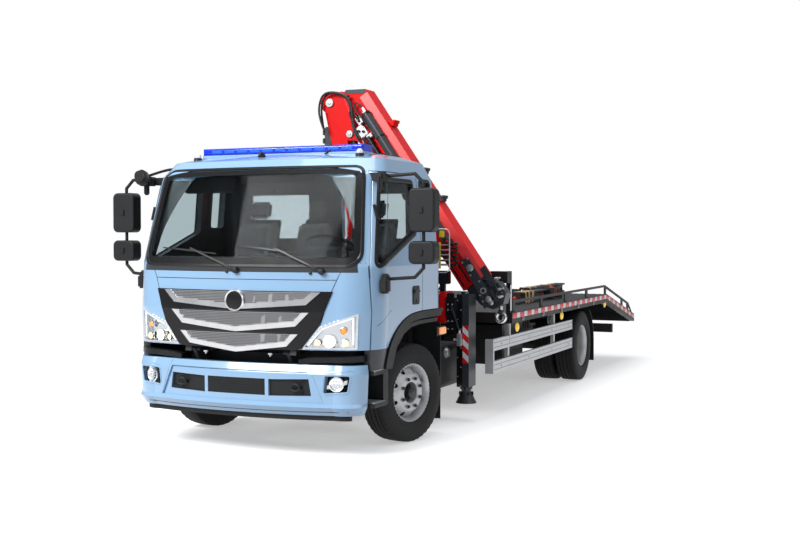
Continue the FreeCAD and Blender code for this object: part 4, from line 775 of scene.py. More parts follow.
seams = {"hood": [(-0.8, 1.335), (0.8, 1.335)],
         "corner_left": [(0.848, 1.438), (0.8, 1.337), (0.762, 1.244), (0.683, 0.992)],
         "corner_right": [(-0.848, 1.438), (-0.8, 1.337), (-0.762, 1.244), (-0.683, 0.992)]}
for name, line in seams.items():
    strip("seam_" + name, from_front(line), (0, 1, 0), front_skin, 0.0055, 0.0006, seam_and_crease_shade, "cab")
for side, letter in both_sides:
    belt = from_side([(-3.93, 1.462), (-3.8, 1.462)], side)
    strip("seam_belt_" + letter, belt, (-side, 0, 0), side_skin, 0.0055, 0.0006, seam_and_crease_shade, "cab")
    # The dark strip along each door's crease is painted shade.
    crease = from_side([(-3.74, 0.99), (-3.52, 1.1)], side)
    strip("crease_" + letter, crease, (-side, 0, 0), side_skin, 0.004, 0.0004, seam_and_crease_shade, letter + "_door")
screen_line = rounded([(-0.968, 1.438), (0.968, 1.438), (0.893, 2.192), (-0.893, 2.192)], 0.106, 8)
strip("windscreen_rubber", from_front(screen_line), (0, 1, 0), cab_only, 0.026, 0.006, rubber, "cab", closed=True)
inner_line = rounded([(-0.931, 1.474), (0.931, 1.474), (0.861, 2.156), (-0.861, 2.156)], 0.085, 8)
strip("windscreen_band", from_front(inner_line), (0, 1, 0), front_skin, 0.052, 0.0012, frit, "cab", closed=True,
      crown=0.98)
window_line = rounded([(-3.744, 1.418), (-2.994, 1.683), (-2.994, 2.094), (-3.545, 2.094), (-3.591, 2.014)], 0.04)
quarter_line = rounded([(-2.853, 1.722), (-2.632, 1.722), (-2.632, 2.113), (-2.853, 2.113)], 0.04)
handle_cup = finish("handle_cup", (0.006, 0.006, 0.007), 0.5, bump=0.05, slot="black_plastic")
for side, letter in both_sides:
    body = letter + "_door"
    strip("window_rubber_" + letter, from_side(window_line, side), (-side, 0, 0), side_skin, 0.034, 0.004, rubber,
          body, closed=True, step=0.02)
    strip("quarter_rubber_" + letter, from_side(quarter_line, side), (-side, 0, 0), side_skin, 0.024, 0.004, rubber,
          "cab", closed=True, step=0.02)
    hit = laid(side_skin, from_side([(-3.045, 1.19)], side), (-side, 0, 0))[0][0]
    cup = plate(round_box(0.072, 0.075, 0.024), 0.004, 0.0012)
    well = plate(rounded([(-0.052, -0.06), (0.058, -0.06), (0.058, 0.055), (-0.052, 0.055)], 0.02), 0.002)
    grip = case((0.112, 0.03, 0.016), 0.007, 3)
    lock = spun([(0, 0), (0.011, 0), (0.011, 0.006), (0.008, 0.008), (0, 0.008)], 20)
    out = (side, 0, 0)
    at = put(hit + Vector((side * -0.001, 0, 0)), out)
    piece("handle_frame_" + letter, cup, black_plastic, body, where=at)
    piece("handle_grip_" + letter, gather((well, move((0, 0, 0.0042))), (grip, move((0, 0.03, 0.012))),
                 (lock, move((0, -0.048, 0.004)))), handle_cup, body, where=at)
    grab = [(-3.655, 1.895), (-3.655, 1.79)]
    spots = laid(side_skin, from_side(grab, side), (-side, 0, 0), 0.01)
    if len(spots) == 2:
        piece("pillar_grab_" + letter, ribbon(spots, 0.016, 0.012, sink=0.012), black_plastic, "cab")


# Roof: blue light bar with dark dividers between its lamps, marker lamps on the front corners,
# a small camera, a thin strut and rubber gutters; the mount is a painted sheet box.
blue_glow = finish("blue_lamp_core", (0.01, 0.1, 0.9), 0.25, coat=0.4, Emission_Color=(0.02, 0.16, 1.0, 1),
                   Emission_Strength=0.25, slot="blue_lens")
blue_dark = finish("blue_divider", (0.0, 0.012, 0.22), 0.3, coat=0.3, slot="blue_lens")
dividers = [block((0.008, 0.186, 0.046), 0.002, (x / 100, -3.24, 2.3565))
            for x in range(-66, 67, 12)]
piece("light_bar_dividers", gather(*dividers), blue_dark, "cab")
lamp_cells = [block((0.096, 0.006, 0.024), 0.0025, (x / 100, -3.3355, 2.3575))
              for x in range(-60, 61, 12)]
piece("light_bar_cells", gather(*lamp_cells), blue_glow, "cab")
end_caps = [block((0.03, 0.18, 0.05), 0.008, (side * 0.722, -3.24, 2.3565)) for side in (1, -1)]
piece("light_bar_ends", gather(*end_caps), blue_glow, "cab")
roof_skin = skin("cab_shell")
base_profile = [(0, -0.01), (0.034, -0.01), (0.034, 0.012), (0.03, 0.018), (0, 0.018)]
dome_profile = [(0.028, 0.017), (0.028, 0.032), (0.024, 0.044), (0.014, 0.052), (0, 0.054)]
amber = finish("amber_lens", (0.95, 0.28, 0.01), 0.18, coat=0.6, Emission_Color=(1.0, 0.35, 0.02, 1),
               Emission_Strength=0.35, slot="lamp_glass")
marker_clear = finish("marker_lamp_clear", (0.75, 0.76, 0.78), 0.12, metallic=0.3, coat=0.8, slot="lamp_glass")
for side, letter in both_sides:
    spot = laid(roof_skin, [(side * 0.745, -3.4, 4)], (0, 0, -1))[0][0]
    piece("roof_lamp_base_" + letter, spun(base_profile), black_plastic, "cab", where=move(spot))
    piece("roof_lamp_" + letter, spun(dome_profile), marker_clear, "cab", where=move(spot))
spot = laid(roof_skin, [(-0.1, -3.46, 4)], (0, 0, -1))[0][0]
camera_case = gather(block((0.06, 0.05, 0.022), 0.008, (0, 0, 0.008)),
                     (spun([(0, -0.03), (0.018, -0.03), (0.02, 0.0), (0.013, 0.018), (0, 0.018)], 20),
                      move((0, -0.01, 0.026)) @ Matrix.Rotation(math.radians(80), 4, "X")))
piece("roof_camera", camera_case, black_plastic, "cab", where=move(spot))
hose("roof_strut", [(0.46, -3.338, 2.345), (0.4, -3.34, 2.31), (0.37, -3.345, 2.285)], 0.006, black_plastic, "cab")
for side, letter in both_sides:
    spots = laid(roof_skin, [(side * 0.8, y / 100, 4) for y in range(-335, -250, 10)], (0, 0, -1))
    if len(spots) > 2:
        piece("roof_gutter_" + letter, ribbon(spots, 0.01, 0.004), rubber, "cab")


# Look-down mirror over the right front corner, and the mirror heads' glass, clamps and boots.
# The tube frames and the heads themselves are the CAD pieces.
look = Vector((-1.075, -3.7, 2.13))
tilt = (-0.42, -0.8, 0.42)
piece("look_down_mirror", plate(circle(24, 0.125, 0.062), 0.045, 0.018), black_plastic, "cab", where=put(look, tilt,
                                                                                                         (0.4, 0,
                                                                                                          1)))
mirror_glass = finish("mirror_glass", (0.35, 0.4, 0.42), 0.05, metallic=1.0, bump=0.0, slot="glass")
piece("look_down_glass", plate(circle(24, 0.105, 0.048), 0.002, 0.0006), mirror_glass, "cab",
      where=put(look - Vector(tilt).normalized() * 0.003, [-c for c in tilt], (0.4, 0, 1)))
hose("look_down_arm", [look + Vector((0.02, 0.03, 0.02)), (-0.98, -3.6, 2.19), (-0.9, -3.5, 2.22),
                       (-0.86, -3.47, 2.2)], 0.011, black_plastic, "cab")
for side, letter in both_sides:
    body = letter + "_door"
    for z, tall, tag in ((1.855, 0.33, "main"), (1.538, 0.172, "wide")):
        middle_x, face_y = side * 1.35, -3.507
        line = round_box(0.092, tall / 2 - 0.016, 0.035)
        piece("mirror_glass_%s_%s" % (tag, letter), plate(line, 0.0015, 0.0005), mirror_glass, body,
              where=put((middle_x, face_y - 0.0005, z), (0, 1, 0)))
        clamp = case((0.034, 0.02, 0.05), 0.006)
        piece("mirror_clamp_%s_%s" % (tag, letter), clamp, black_plastic, body, where=move((middle_x, -3.613, z)))
    boot = gather(block((0.075, 0.07, 0.115), 0.016, (side * 1.092, -3.69, 1.29), 3),
                  block((0.055, 0.055, 0.05), 0.012, (side * 1.092, -3.675, 1.355), 3))
    piece("mirror_boot_" + letter, boot, black_plastic, body)
    top_boot = gather(block((0.075, 0.11, 0.075), 0.018, (side * 1.045, -3.64, 2.108), 3),
                      block((0.03, 0.055, 0.11), 0.01, (side * 1.05, -3.69, 2.05), 3))
    piece("mirror_top_boot_" + letter, top_boot, black_plastic, body)


# Wipers: cranked arms on capped pivots with blade bridges and thin rubber blades, all laid on
# the screen, and a washer nozzle beside each pivot.
blade_black = finish("wiper_black", (0.006, 0.006, 0.007), 0.45, bump=0.05, slot="black_plastic")
wiper_lines = (((-0.004, 1.404), (-0.454, 1.559), (-0.755, 1.567), (-0.206, 1.521)),
               ((0.685, 1.398), (0.306, 1.56), (-0.042, 1.583), (0.475, 1.529)))
for number, (pivot, elbow, tip_a, tip_b) in enumerate(wiper_lines):
    arm_line = even([(pivot[0], -6, pivot[1]), (elbow[0], -6, elbow[1])], 0.05)
    spots = laid(front_skin, arm_line, (0, 1, 0), 0.026)
    spots[0] = (spots[0][0] + Vector((0, 0.008, 0)), spots[0][1])
    replaced = ["wipers"] if number == 0 else ()
    piece("wiper_arm_%d" % number, ribbon(spots, 0.018, 0.007, sink=0.004), blade_black, "cab", replaces=replaced)
    blade_line = even([(tip_a[0], -6, tip_a[1]), (tip_b[0], -6, tip_b[1])], 0.04)
    spots = laid(front_skin, blade_line, (0, 1, 0), 0.004)
    piece("wiper_blade_%d" % number, ribbon(spots, 0.008, 0.014, sink=0.003), blade_black, "cab")
    piece("wiper_bridge_%d" % number, ribbon(laid(front_skin, blade_line[3:-3], (0, 1, 0), 0.018), 0.013, 0.007),
          blade_black, "cab")
    hub_spot = laid(front_skin, [(pivot[0], -6, pivot[1])], (0, 1, 0))[0]
    cap = spun([(0, 0), (0.026, 0), (0.024, 0.03), (0.018, 0.04), (0, 0.042)], 20)
    piece("wiper_pivot_%d" % number, cap, blade_black, "cab", where=put(hub_spot[0], hub_spot[1]))
    nozzle_spot = laid(front_skin, [(pivot[0] - 0.085, -6, pivot[1] - 0.012)], (0, 1, 0))[0]
    nozzle = spun([(0, 0), (0.013, 0), (0.011, 0.012), (0, 0.014)], 16)
    piece("washer_nozzle_%d" % number, nozzle, blade_black, "cab", where=put(nozzle_spot[0], nozzle_spot[1]))


# Grille: three perforated silver plates above the bright bars, on the gloss black panel, and
# the round badge, a blank black disc in a chrome ring.
panel_skin = skin("grille_panel")
mesh_silver = finish("perforated_silver", (0.32, 0.32, 0.33), 0.42, metallic=0.5, bump=0.04, slot="silver_trim")
mesh_hole = finish("perforation", (0.01, 0.01, 0.011), 0.7, slot="gloss_black")
bright_bar = finish("bright_bar", (0.78, 0.78, 0.79), 0.22, metallic=0.9, bump=0.01, coat=0.2, slot="silver_trim")
dress(bright_bar, "grille_bars")
ahead = (0, 1, 0)
bar_rows = (((0.626, 0.557), (1.2435, 1.184, 1.14)), ((0.551, 0.486), (1.0915, 1.026, 0.975)),
            ((0.462, 0.413), (0.9295, 0.872, 0.819)))
for number, ((top_x, low_x), (top_z, low_z, middle_z)) in enumerate(bar_rows):
    outline = [(-top_x, top_z), (-low_x, low_z), (0, middle_z), (low_x, low_z), (top_x, top_z)]
    sheet = patch(from_front(outline), panel_skin, ahead, 0.002, 0.003, 0.045)
    piece("grille_mesh_%d" % number, sheet, mesh_silver, "cab")
    holes, facings = [], []
    pitch, hex_rise, top_gap, side_gap, low_gap = 0.0138, 0.866, 0.009, 0.007, 0.008
    for row in range(int((top_z - middle_z) / (pitch * hex_rise)) + 1):
        z = top_z - top_gap - row * pitch * hex_rise
        for column in range(-50, 51):
            x = (column + 0.5 * (row % 2)) * pitch
            side_x = low_x + (top_x - low_x) * max(0, (z - low_z) / (top_z - low_z))
            bottom = middle_z + (low_z - middle_z) * abs(x) / low_x
            if abs(x) > side_x - side_gap or z < bottom + low_gap:
                continue
            hit = laid(panel_skin, [(x, -6, z)], ahead, 0.005)
            if hit:
                holes.append(hit[0][0])
                facings.append(hit[0][1])
    hole_disc = bmesh.new()
    bmesh.ops.create_circle(hole_disc, cap_ends=True, segments=6, radius=0.0059)
    repeat("grille_holes_%d" % number, hole_disc, holes, facings, mesh_hole, "cab")
    strip("grille_lip_%d" % number, from_front(outline), ahead, panel_skin, 0.006, 0.012, bright_bar, "cab")
badge_spot = laid(skin("grille_bars"), [(0, -6, 1.176)], ahead)[0][0]
ring_profile = [(0.07, 0.0), (0.07, 0.006), (0.074, 0.01), (0.08, 0.01), (0.084, 0.005), (0.0845, 0.0)]
ring_shape = turned([(d, r) for r, d in ring_profile] + [(ring_profile[0][1], ring_profile[0][0])], 48)
chrome = finish("chrome", (0.8, 0.8, 0.81), 0.08, metallic=1.0, bump=0.0, slot="silver_trim")
piece("badge_ring", ring_shape, chrome, "cab", where=facing(badge_spot, (0, -1, 0)))
piece("badge_disc", spun([(0, 0), (0.0702, 0), (0.0702, 0.003), (0.066, 0.0045), (0, 0.0062)], 40), gloss_black,
      "cab",
      "gloss_black", where=put(badge_spot))
for half, z, tag in ((0.5, 1.098, "upper"), (0.43, 0.937, "lower")):
    strip("grille_slot_" + tag, from_front([(-half, z), (half, z)]), ahead, panel_skin, 0.007, 0.001, mesh_hole,
          "cab")


# Headlamps: chrome bowls behind clear lenses, a lit projector in a turned shroud, small round
# reflectors, an amber turn lamp and the white running strip along the outer edges.
lens_skin = skin("headlamp_lenses")
warm_glow = finish("lit_bulb", (1.0, 0.86, 0.62), 0.3, Emission_Color=(1.0, 0.8, 0.45, 1), Emission_Strength=7.0)
soft_glow = finish("lit_reflector", (1.0, 0.78, 0.45), 0.3, Emission_Color=(1.0, 0.62, 0.25, 1),
                   Emission_Strength=1.6)
white_strip = finish("running_strip", (0.85, 0.87, 0.9), 0.25, Emission_Color=(0.9, 0.95, 1.0, 1),
                     Emission_Strength=0.35, slot="lamp_glass")
shroud_profile = [(0.046, -0.03), (0.05, 0.0), (0.048, 0.008), (0.044, 0.01), (0.037, -0.004), (0.034, -0.012),
                  (0, -0.012)]
dome = [(0.034, -0.011), (0.032, 0.004), (0.022, 0.013), (0.01, 0.017), (0, 0.018)]
for side, letter in both_sides:
    def bowl(x, z):
        return laid(lens_skin, [(side * x, -6, z)], ahead, -0.022)[0][0]
    out = Vector((side * 0.35, -1, 0)).normalized()
    for x, z, size, core, tag in ((0.752, 0.88, 1.0, warm_glow, "projector"), (0.872, 0.868, 0.62, soft_glow,
                                                                               "inner"),
                                  (0.66, 0.868, 0.52, soft_glow, "outer"), (0.862, 0.96, 0.58, amber, "turn")):
        at = put(bowl(x, z), out) @ Matrix.Scale(size, 4)
        piece("lamp_shroud_%s_%s" % (tag, letter), spun(shroud_profile, 28), lamp_chrome, "cab", where=at)
        piece("lamp_core_%s_%s" % (tag, letter), spun(dome, 24), core, "cab", "lamp_glass", where=at)
    edge = [(side * x, z) for x, z in ((0.585, 0.846), (0.69, 0.968), (0.79, 1.01), (0.93, 1.055), (0.928, 0.86))]
    line = laid(lens_skin, even(from_front(edge), 0.02), ahead, -0.016)
    piece("running_strip_" + letter, ribbon(line, 0.014, 0.004), white_strip, "cab")
    beads = laid(lens_skin, even(from_front([(side * 0.61, 0.893), (side * 0.695, 0.99), (side * 0.915, 1.072)]),
                                 0.03),
                 ahead, -0.012)
    bead = spun([(0, 0), (0.008, 0), (0.007, 0.005), (0, 0.007)], 12)
    repeat("lamp_beads_" + letter, bead, *zip(*beads), white_strip, "cab")
    fins = [laid(lens_skin, from_front([(side * (0.6 + 0.05 * n), 0.838), (side * (0.6 + 0.05 * n),
                                                                           0.855 + 0.006 * n)]),
                 ahead, -0.03) for n in range(7)]
    parts_used = [ribbon(fin, 0.004, 0.01) for fin in fins if len(fin) == 2]
    if parts_used:
        piece("lamp_fins_" + letter, gather(*parts_used), lamp_chrome, "cab")


# Bumper: black trim lip over the ends, two small clips, creases of the wings, towing eyes in
# the mouths, a ribbed blank plate field and round fog lamps behind their clear panes.
outwards_ahead = Vector((0, -1, 0))
bumper_skin = skin("front_bumper")
insert_skin = skin("front_bumper", "bumper_inserts", "fog_lamps")
for side, letter in both_sides:
    lip, top = [(0.52, 0.722), (0.6, 0.738), (0.985, 0.752)], []
    for x, z in even(lip, 0.04):
        hit = laid(bumper_skin, [(side * x, -6, 0.69)], ahead)
        if hit:
            top.append((Vector((side * x, hit[0][0].y + 0.03, z)), outwards_ahead))
    piece("bumper_lip_" + letter, ribbon(top, 0.05, 0.022, sink=0.03), gloss_black, "chassis", "gloss_black")
    clip_y = laid(panel_skin, [(side * 0.3, -6, 0.83)], ahead)[0][0].y
    clip = gather(case((0.036, 0.016, 0.012), 0.003), block((0.012, 0.02, 0.018), 0.003, (0, 0.004, -0.012)))
    piece("grille_clip_" + letter, clip, silver_trim, "cab", where=move((side * 0.285, clip_y + 0.012, 0.776)))
    for line, tag in (([(0.604, 0.7), (0.65, 0.59), (0.715, 0.42)], "wing"), ([(0.735, 0.65), (0.945, 0.672)],
                                                                              "brow")):
        strip("bumper_crease_%s_%s" % (tag, letter), from_front([(side * x, z) for x, z in line]), ahead,
              bumper_skin, 0.01, 0.003, blue_paint, "chassis")
    mouth_spot = laid(insert_skin, [(side * 0.5, -6, 0.535)], ahead)[0][0]
    eye = [(a, -0.03, b) for a, b in circle(16, 0.034, 0.026)]
    hose("towing_eye_" + letter, [mouth_spot + Vector(p) for p in eye], 0.008, chassis_black, "chassis",
         smooth=False, closed=True)
    stalk = gather(block((0.02, 0.04, 0.02), 0.004, mouth_spot + Vector((0.036, -0.016, 0))),
                   block((0.1, 0.006, 0.012), 0.002, mouth_spot + Vector((0.0, -0.004, 0.046))),
                   block((0.16, 0.006, 0.012), 0.002, mouth_spot + Vector((-0.03, -0.004, -0.046))))
    piece("mouth_ribs_" + letter, stalk, chassis_black, "chassis")
    fog = laid(insert_skin, [(side * 0.815, -6, 0.567)], ahead)[0][0]
    fog_at = put(fog + Vector((0, 0.008, 0)), (side * 0.25, -1, 0))
    fog_ring = [(0.058, -0.006), (0.056, 0.004), (0.05, 0.005), (0.04, -0.002), (0, -0.003)]
    piece("fog_reflector_" + letter, spun(fog_ring, 28), lamp_chrome, "chassis", where=fog_at)
    facets = [block((0.01, 0.01, 0.006), 0.002, (0.018 * a, 0.018 * b, 0.002))
              for a in (-1, 0, 1) for b in (-1, 0, 1)]
    piece("fog_facets_" + letter, gather(*facets), marker_clear, "chassis", where=fog_at)
    fog_frame = rounded([(side * 0.712, 0.492), (side * 0.905, 0.506), (side * 0.928, 0.638),
                         (side * 0.726, 0.634)], 0.03)
    strip("fog_frame_" + letter, from_front(fog_frame), ahead, bumper_skin, 0.01, 0.004, blue_paint, "chassis",
          closed=True, step=0.02)
plate_ribs = []
for row in range(5):
    z = 0.487 + row * 0.0215
    spots = laid(insert_skin, even(from_front([(-0.235, z), (0.235, z)]), 0.05), ahead)
    plate_ribs.append(ribbon(spots, 0.011, 0.004))
piece("plate_field_ribs", gather(*plate_ribs), black_plastic, "chassis")
strip("bumper_lip_line", from_front([(-0.97, 0.362), (-0.5, 0.357), (0.5, 0.357), (0.97, 0.362)]), ahead,
      bumper_skin, 0.007, 0.0008, seam_and_crease_shade, "chassis", step=0.06)


# Seats: a driver's seat and a two-seat bench with separate backs and head rests. Each pad is
# foam under woven cloth: a rounded form puffed by a short cloth run, then its seams pressed in.
seat_cloth = finish("seat_cloth", (0.085, 0.088, 0.094), 0.85, mottle=0.12, bump=0.35, fine=420.0, Sheen_Weight=0.3,
                    slot="seat_cloth")
seat_shell = finish("seat_shell", (0.018, 0.019, 0.02), 0.6, bump=0.15, fine=500.0, slot="black_plastic")


def puffed(name, size, corner, voxel, cap, grooves):
    pad = bpy.data.objects.new(name, bpy.data.meshes.new(name))
    shape = case([s - cap for s in size], corner, 4)
    shape.to_mesh(pad.data)
    shape.free()
    bpy.context.collection.objects.link(pad)
    remesh = pad.modifiers.new("even_skin", "REMESH")
    remesh.mode, remesh.voxel_size = "VOXEL", voxel
    bpy.context.view_layer.update()
    seen_now = pad.evaluated_get(bpy.context.evaluated_depsgraph_get())
    pad.data = bpy.data.meshes.new_from_object(seen_now)
    pad.modifiers.clear()
    rest = [v.co.copy() for v in pad.data.vertices]
    puff = [co.copy() for co in rest]
    cloth = pad.modifiers.new("puff", "CLOTH")
    cloth.settings.use_pressure = True
    cloth.settings.uniform_pressure_force = 4
    cloth.settings.effector_weights.gravity = 0
    cloth.point_cache.frame_start, cloth.point_cache.frame_end = 1, 20
    for number in range(1, 21):
        bpy.context.scene.frame_set(number)
    seen_now = pad.evaluated_get(bpy.context.evaluated_depsgraph_get())
    puff = [v.co.copy() for v in seen_now.data.vertices]
    pad.modifiers.clear()
    bpy.context.scene.frame_set(1)
    made = bmesh.new()
    made.from_mesh(pad.data)
    for vert, start, end in zip(made.verts, rest, puff):
        swell = end - start
        vert.co = start + (swell * (cap / swell.length) if swell.length > cap else swell)
        for axis, at, depth, wide in grooves:
            vert.co.z -= depth * math.exp(-((vert.co[axis] - at) / wide) ** 2) * max(0, vert.co.z / size[2] * 2)
    bpy.data.objects.remove(pad)
    return made


seat_sizes = {"cushion": (0.48, 0.48, 0.13), "back": (0.45, 0.36, 0.11), "head": (0.23, 0.17, 0.085)}
seat_grooves = {"cushion": [(0, -0.13, 0.012, 0.01), (0, 0.13, 0.012, 0.01), (1, 0.05, 0.01, 0.01)],
                "back": [(0, -0.12, 0.011, 0.01), (0, 0.12, 0.011, 0.01), (1, -0.06, 0.008, 0.01)],
                "head": [(0, 0.0, 0.004, 0.012)]}
back_lean = math.radians(15)
back_out = (0, -math.cos(back_lean), math.sin(back_lean))
back_up = (0, math.sin(back_lean), math.cos(back_lean))
seat_spots = {"cushion": put((0, -3.025, 1.352), (0, 0, 1), (0, 1, 0)),
              "back": put((0, -2.77, 1.606), back_out, back_up), "head": put((0, -2.69, 1.885), back_out, back_up)}
seat_places = (("mate", -0.56, 1.0), ("middle", 0.0, 0.76), ("driver", 0.56, 1.0))
for tag, size in seat_sizes.items():
    model = bpy.data.meshes.new("pad_model_" + tag)
    shape = puffed("pad_" + tag, size, min(size) * 0.34, 0.011 if tag != "head" else 0.008, 0.012,
                   seat_grooves[tag])
    shape.to_mesh(model)
    shape.free()
    for owner, x, share in seat_places:
        pad = bmesh.new()
        pad.from_mesh(model)
        bmesh.ops.scale(pad, vec=(share, 1, 1), verts=pad.verts)
        made = piece("seat_%s_%s" % (tag, owner), pad, seat_cloth, "cab", replaces=["seats"]
                     if (tag, owner) == ("cushion", "mate") else (), angle=80,
                     where=move((x, 0, 0)) @ seat_spots[tag])
for owner, x, share in seat_places:
    trim = [block((0.4 * share, 0.36, 0.135), 0.012, (x, -3.01, 1.205)),
            block((0.44 * share, 0.44, 0.02), 0.006, (x, -3.02, 1.28)),
            (case((0.36 * share, 0.018, 0.44), 0.008), put((x, -2.702, 1.59), back_up, (0, -1, 0))),
            (case((0.012, 0.012, 0.1), 0.003), put((x - 0.05, -2.716, 1.785), back_up, (0, -1, 0))),
            (case((0.012, 0.012, 0.1), 0.003), put((x + 0.05, -2.716, 1.785), back_up, (0, -1, 0)))]
    piece("seat_frame_" + owner, gather(*trim), seat_shell, "cab")


# Dashboard fittings, steering wheel boss, inner mirror and sun visors, all in dark plastic.
# They show through the windscreen, so they have their main edges only.
dash_grey = finish("dash_plastic", (0.032, 0.034, 0.037), 0.6, bump=0.2, fine=600.0, slot="black_plastic")
dress(dash_grey, "dashboard")
dark_screen = finish("dark_screen", (0.003, 0.003, 0.004), 0.08, bump=0.0, coat=0.5, slot="gloss_black")
hood_line = rounded([(-0.19, 0), (0.19, 0), (0.17, 0.085), (-0.17, 0.085)], 0.04)
piece("binnacle", plate(hood_line, 0.15, 0.012), dash_grey, "cab", where=put((0.52, -3.69, 1.47), (0, 1, 0.2),
                                                                             (0, 0, 1)))
piece("dash_screen", gather(block((0.24, 0.012, 0.13), 0.005, (0.06, -3.555, 1.4))), dark_screen, "cab")
slats = []
for x in (-0.74, -0.3, 0.24, 0.8):
    slats += [block((0.11, 0.008, 0.006), 0.002, (x, -3.545, 1.435 - 0.014 * row)) for row in range(4)]
    slats.append(block((0.125, 0.006, 0.004), 0.001, (x, -3.548, 1.444)))
piece("dash_vents", gather(*slats), seat_shell, "cab")
piece("glove_box", gather(block((0.42, 0.01, 0.16), 0.006, (-0.52, -3.57, 1.31))), dash_grey, "cab")
wheel_lean = Vector((0, 0.482, 0.876))
piece("steering_boss", spun([(0, 0), (0.062, 0), (0.06, 0.022), (0.045, 0.034), (0, 0.038)], 24), seat_shell, "cab",
      where=put((0.52, -3.41, 1.56), wheel_lean, (1, 0, 0)))
for name, x, z, wide, high, y in (("inner_mirror", -0.056, 2.02, 0.2, 0.065, -3.5),
                                  ("visor_mate", -0.6, 2.075, 0.48, 0.135, -3.43),
                                  ("visor_driver", 0.6, 2.075, 0.48, 0.135, -3.43)):
    piece(name, plate(round_box(wide / 2, high / 2, 0.03), 0.018, 0.006), seat_shell
          if name == "inner_mirror" else dash_grey, "cab", "black_plastic",
          where=put((x, y, z), (0, -1, 0.25), (0, 0.25, 1)))


# Crane: valves, hoses, pins and guards. Places are given along the boom from its knuckle and
# above the knuckle's own line, in metres; local X runs along the boom and local Z out of it.
knuckle = Vector((-0.41, 0, 2.93))
boom_angle = math.radians(55.5)
along = Vector((math.cos(boom_angle), 0, -math.sin(boom_angle)))
above = Vector((math.sin(boom_angle), 0, math.cos(boom_angle)))
boom_y, boom_half = -1.555, 0.1
front_y = boom_y - boom_half
valve_silver = finish("valve_silver", (0.66, 0.66, 0.67), 0.32, metallic=0.7, bump=0.05, slot="bare_steel")
hose_rubber = finish("hose_rubber", (0.012, 0.013, 0.015), 0.45, bump=0.15, fine=500.0, Specular_IOR_Level=0.4,
                     slot="black_plastic")
pin_steel = finish("pin_steel", (0.42, 0.43, 0.42), 0.38, metallic=0.8, bump=0.1, slot="bare_steel")
slate = finish("crane_slate", (0.03, 0.034, 0.04), 0.4, bump=0.08, Specular_IOR_Level=0.4, slot="crane_black")
# A lighter copy of the crane red for the boom's upper face and fold line: painted highlight where the light falls
# on them.
painted_highlight_red = finish("boom_top_painted_highlight_red", (0.9, 0.045, 0.045), 0.36, mottle=0.03, bump=0.03, coat=0.3, slot="crane_red")
safety_yellow = finish("safety_yellow", (0.9, 0.66, 0.01), 0.4, bump=0.05, slot="silver_trim")
tape_red = finish("tape_red", (0.8, 0.01, 0.012), 0.35, bump=0.02, slot="crane_red")
tape_white = finish("tape_white", (0.86, 0.87, 0.88), 0.35, bump=0.02, slot="silver_trim")
dress(slate, "outrigger_left", "outrigger_right", "outrigger_foot_left", "outrigger_foot_right", "extension_ram",
      "extension_boom")
dress(crane_red, "crane_base")


def on_boom(distance, height, y=front_y):
    return knuckle + along * distance + above * height + Vector((0, y, 0))


def boom_at(distance, height, y=front_y, turn=0.0):
    return put(on_boom(distance, height, y), (0, -1, 0), above, turn)


def flat_prism(points, y_from, y_to):
    shape = bmesh.new()
    face = shape.faces.new([shape.verts.new(Vector(p) + Vector((0, y_from, 0))) for p in points])
    made = bmesh.ops.extrude_face_region(shape, geom=[face])
    bmesh.ops.translate(shape, vec=(0, y_to - y_from, 0), verts=[v for v in made["geom"]
                                                                 if isinstance(v, bmesh.types.BMVert)])
    bmesh.ops.recalc_face_normals(shape, faces=shape.faces)
    return shape


def button(radius, high, dome=0.3):
    return spun([(0, 0), (radius, 0), (radius, high * (1 - dome)), (radius * 0.9, high * 0.95), (0, high)], 24)


def pin_head(radius, rim, crown):
    return gather(button(radius, rim), button(radius * 0.5, crown))


# The boom's upper faces are thin sheets in the lighter red, a painted highlight.
for side in (-1, 1):
    wedge = bmesh.new()
    rows = [[wedge.verts.new(on_boom(a, h, boom_y + side * (boom_half + out))) for h, out in
             ((0.28, -0.002), (0.284, 0.01), (0.371, 0.0005), (0.371, -0.004))] for a in (0.15, 2.228)]
    piece("boom_upper_face_%d" % side, rings_to_skin(wedge, rows, False), painted_highlight_red, "outer_arm")
cap_line = [on_boom(0.0, 0.205, 0), on_boom(0.02, 0.17, 0), on_boom(0.15, 0.345, 0), on_boom(0.116, 0.3725, 0)]
piece("boom_end_cap", flat_prism(cap_line, front_y - 0.004, front_y + 0.204), slate, "outer_arm")
rail_lines = [ribbon([(on_boom(a, h), outwards_ahead) for a in (0.78, 1.4, 2.2)], 0.014, 0.006)
              for h in (0.15, 0.215)]
piece("boom_lower_rails", gather(*rail_lines), gloss_black, "outer_arm")
piece("boom_fold_line", ribbon([(on_boom(a, h), outwards_ahead) for a, h in ((-0.02, 0.16), (0.28, 0.1),
                                                                             (0.8, 0.128))],
                               0.006, 0.004), painted_highlight_red, "outer_arm")
for name, place, body, radius in (("knuckle_pin_cap", on_boom(0, 0), "outer_arm", 0.042),
                                  ("fold_pin_cap", Vector((-0.196, front_y, 2.627)), "outer_arm", 0.036)):
    piece(name, gather(button(radius, 0.02), button(radius * 0.45, 0.026)), pin_steel, body, where=put(place))
piece("link_housing", gather(block((0.085, 0.06, 0.19), 0.01, (-0.452, -1.585, 2.615)),
                             block((0.02, 0.07, 0.05), 0.004, (-0.5, -1.585, 2.655)),
                             block((0.02, 0.07, 0.05), 0.004, (-0.5, -1.585, 2.575))), slate, "inner_arm")


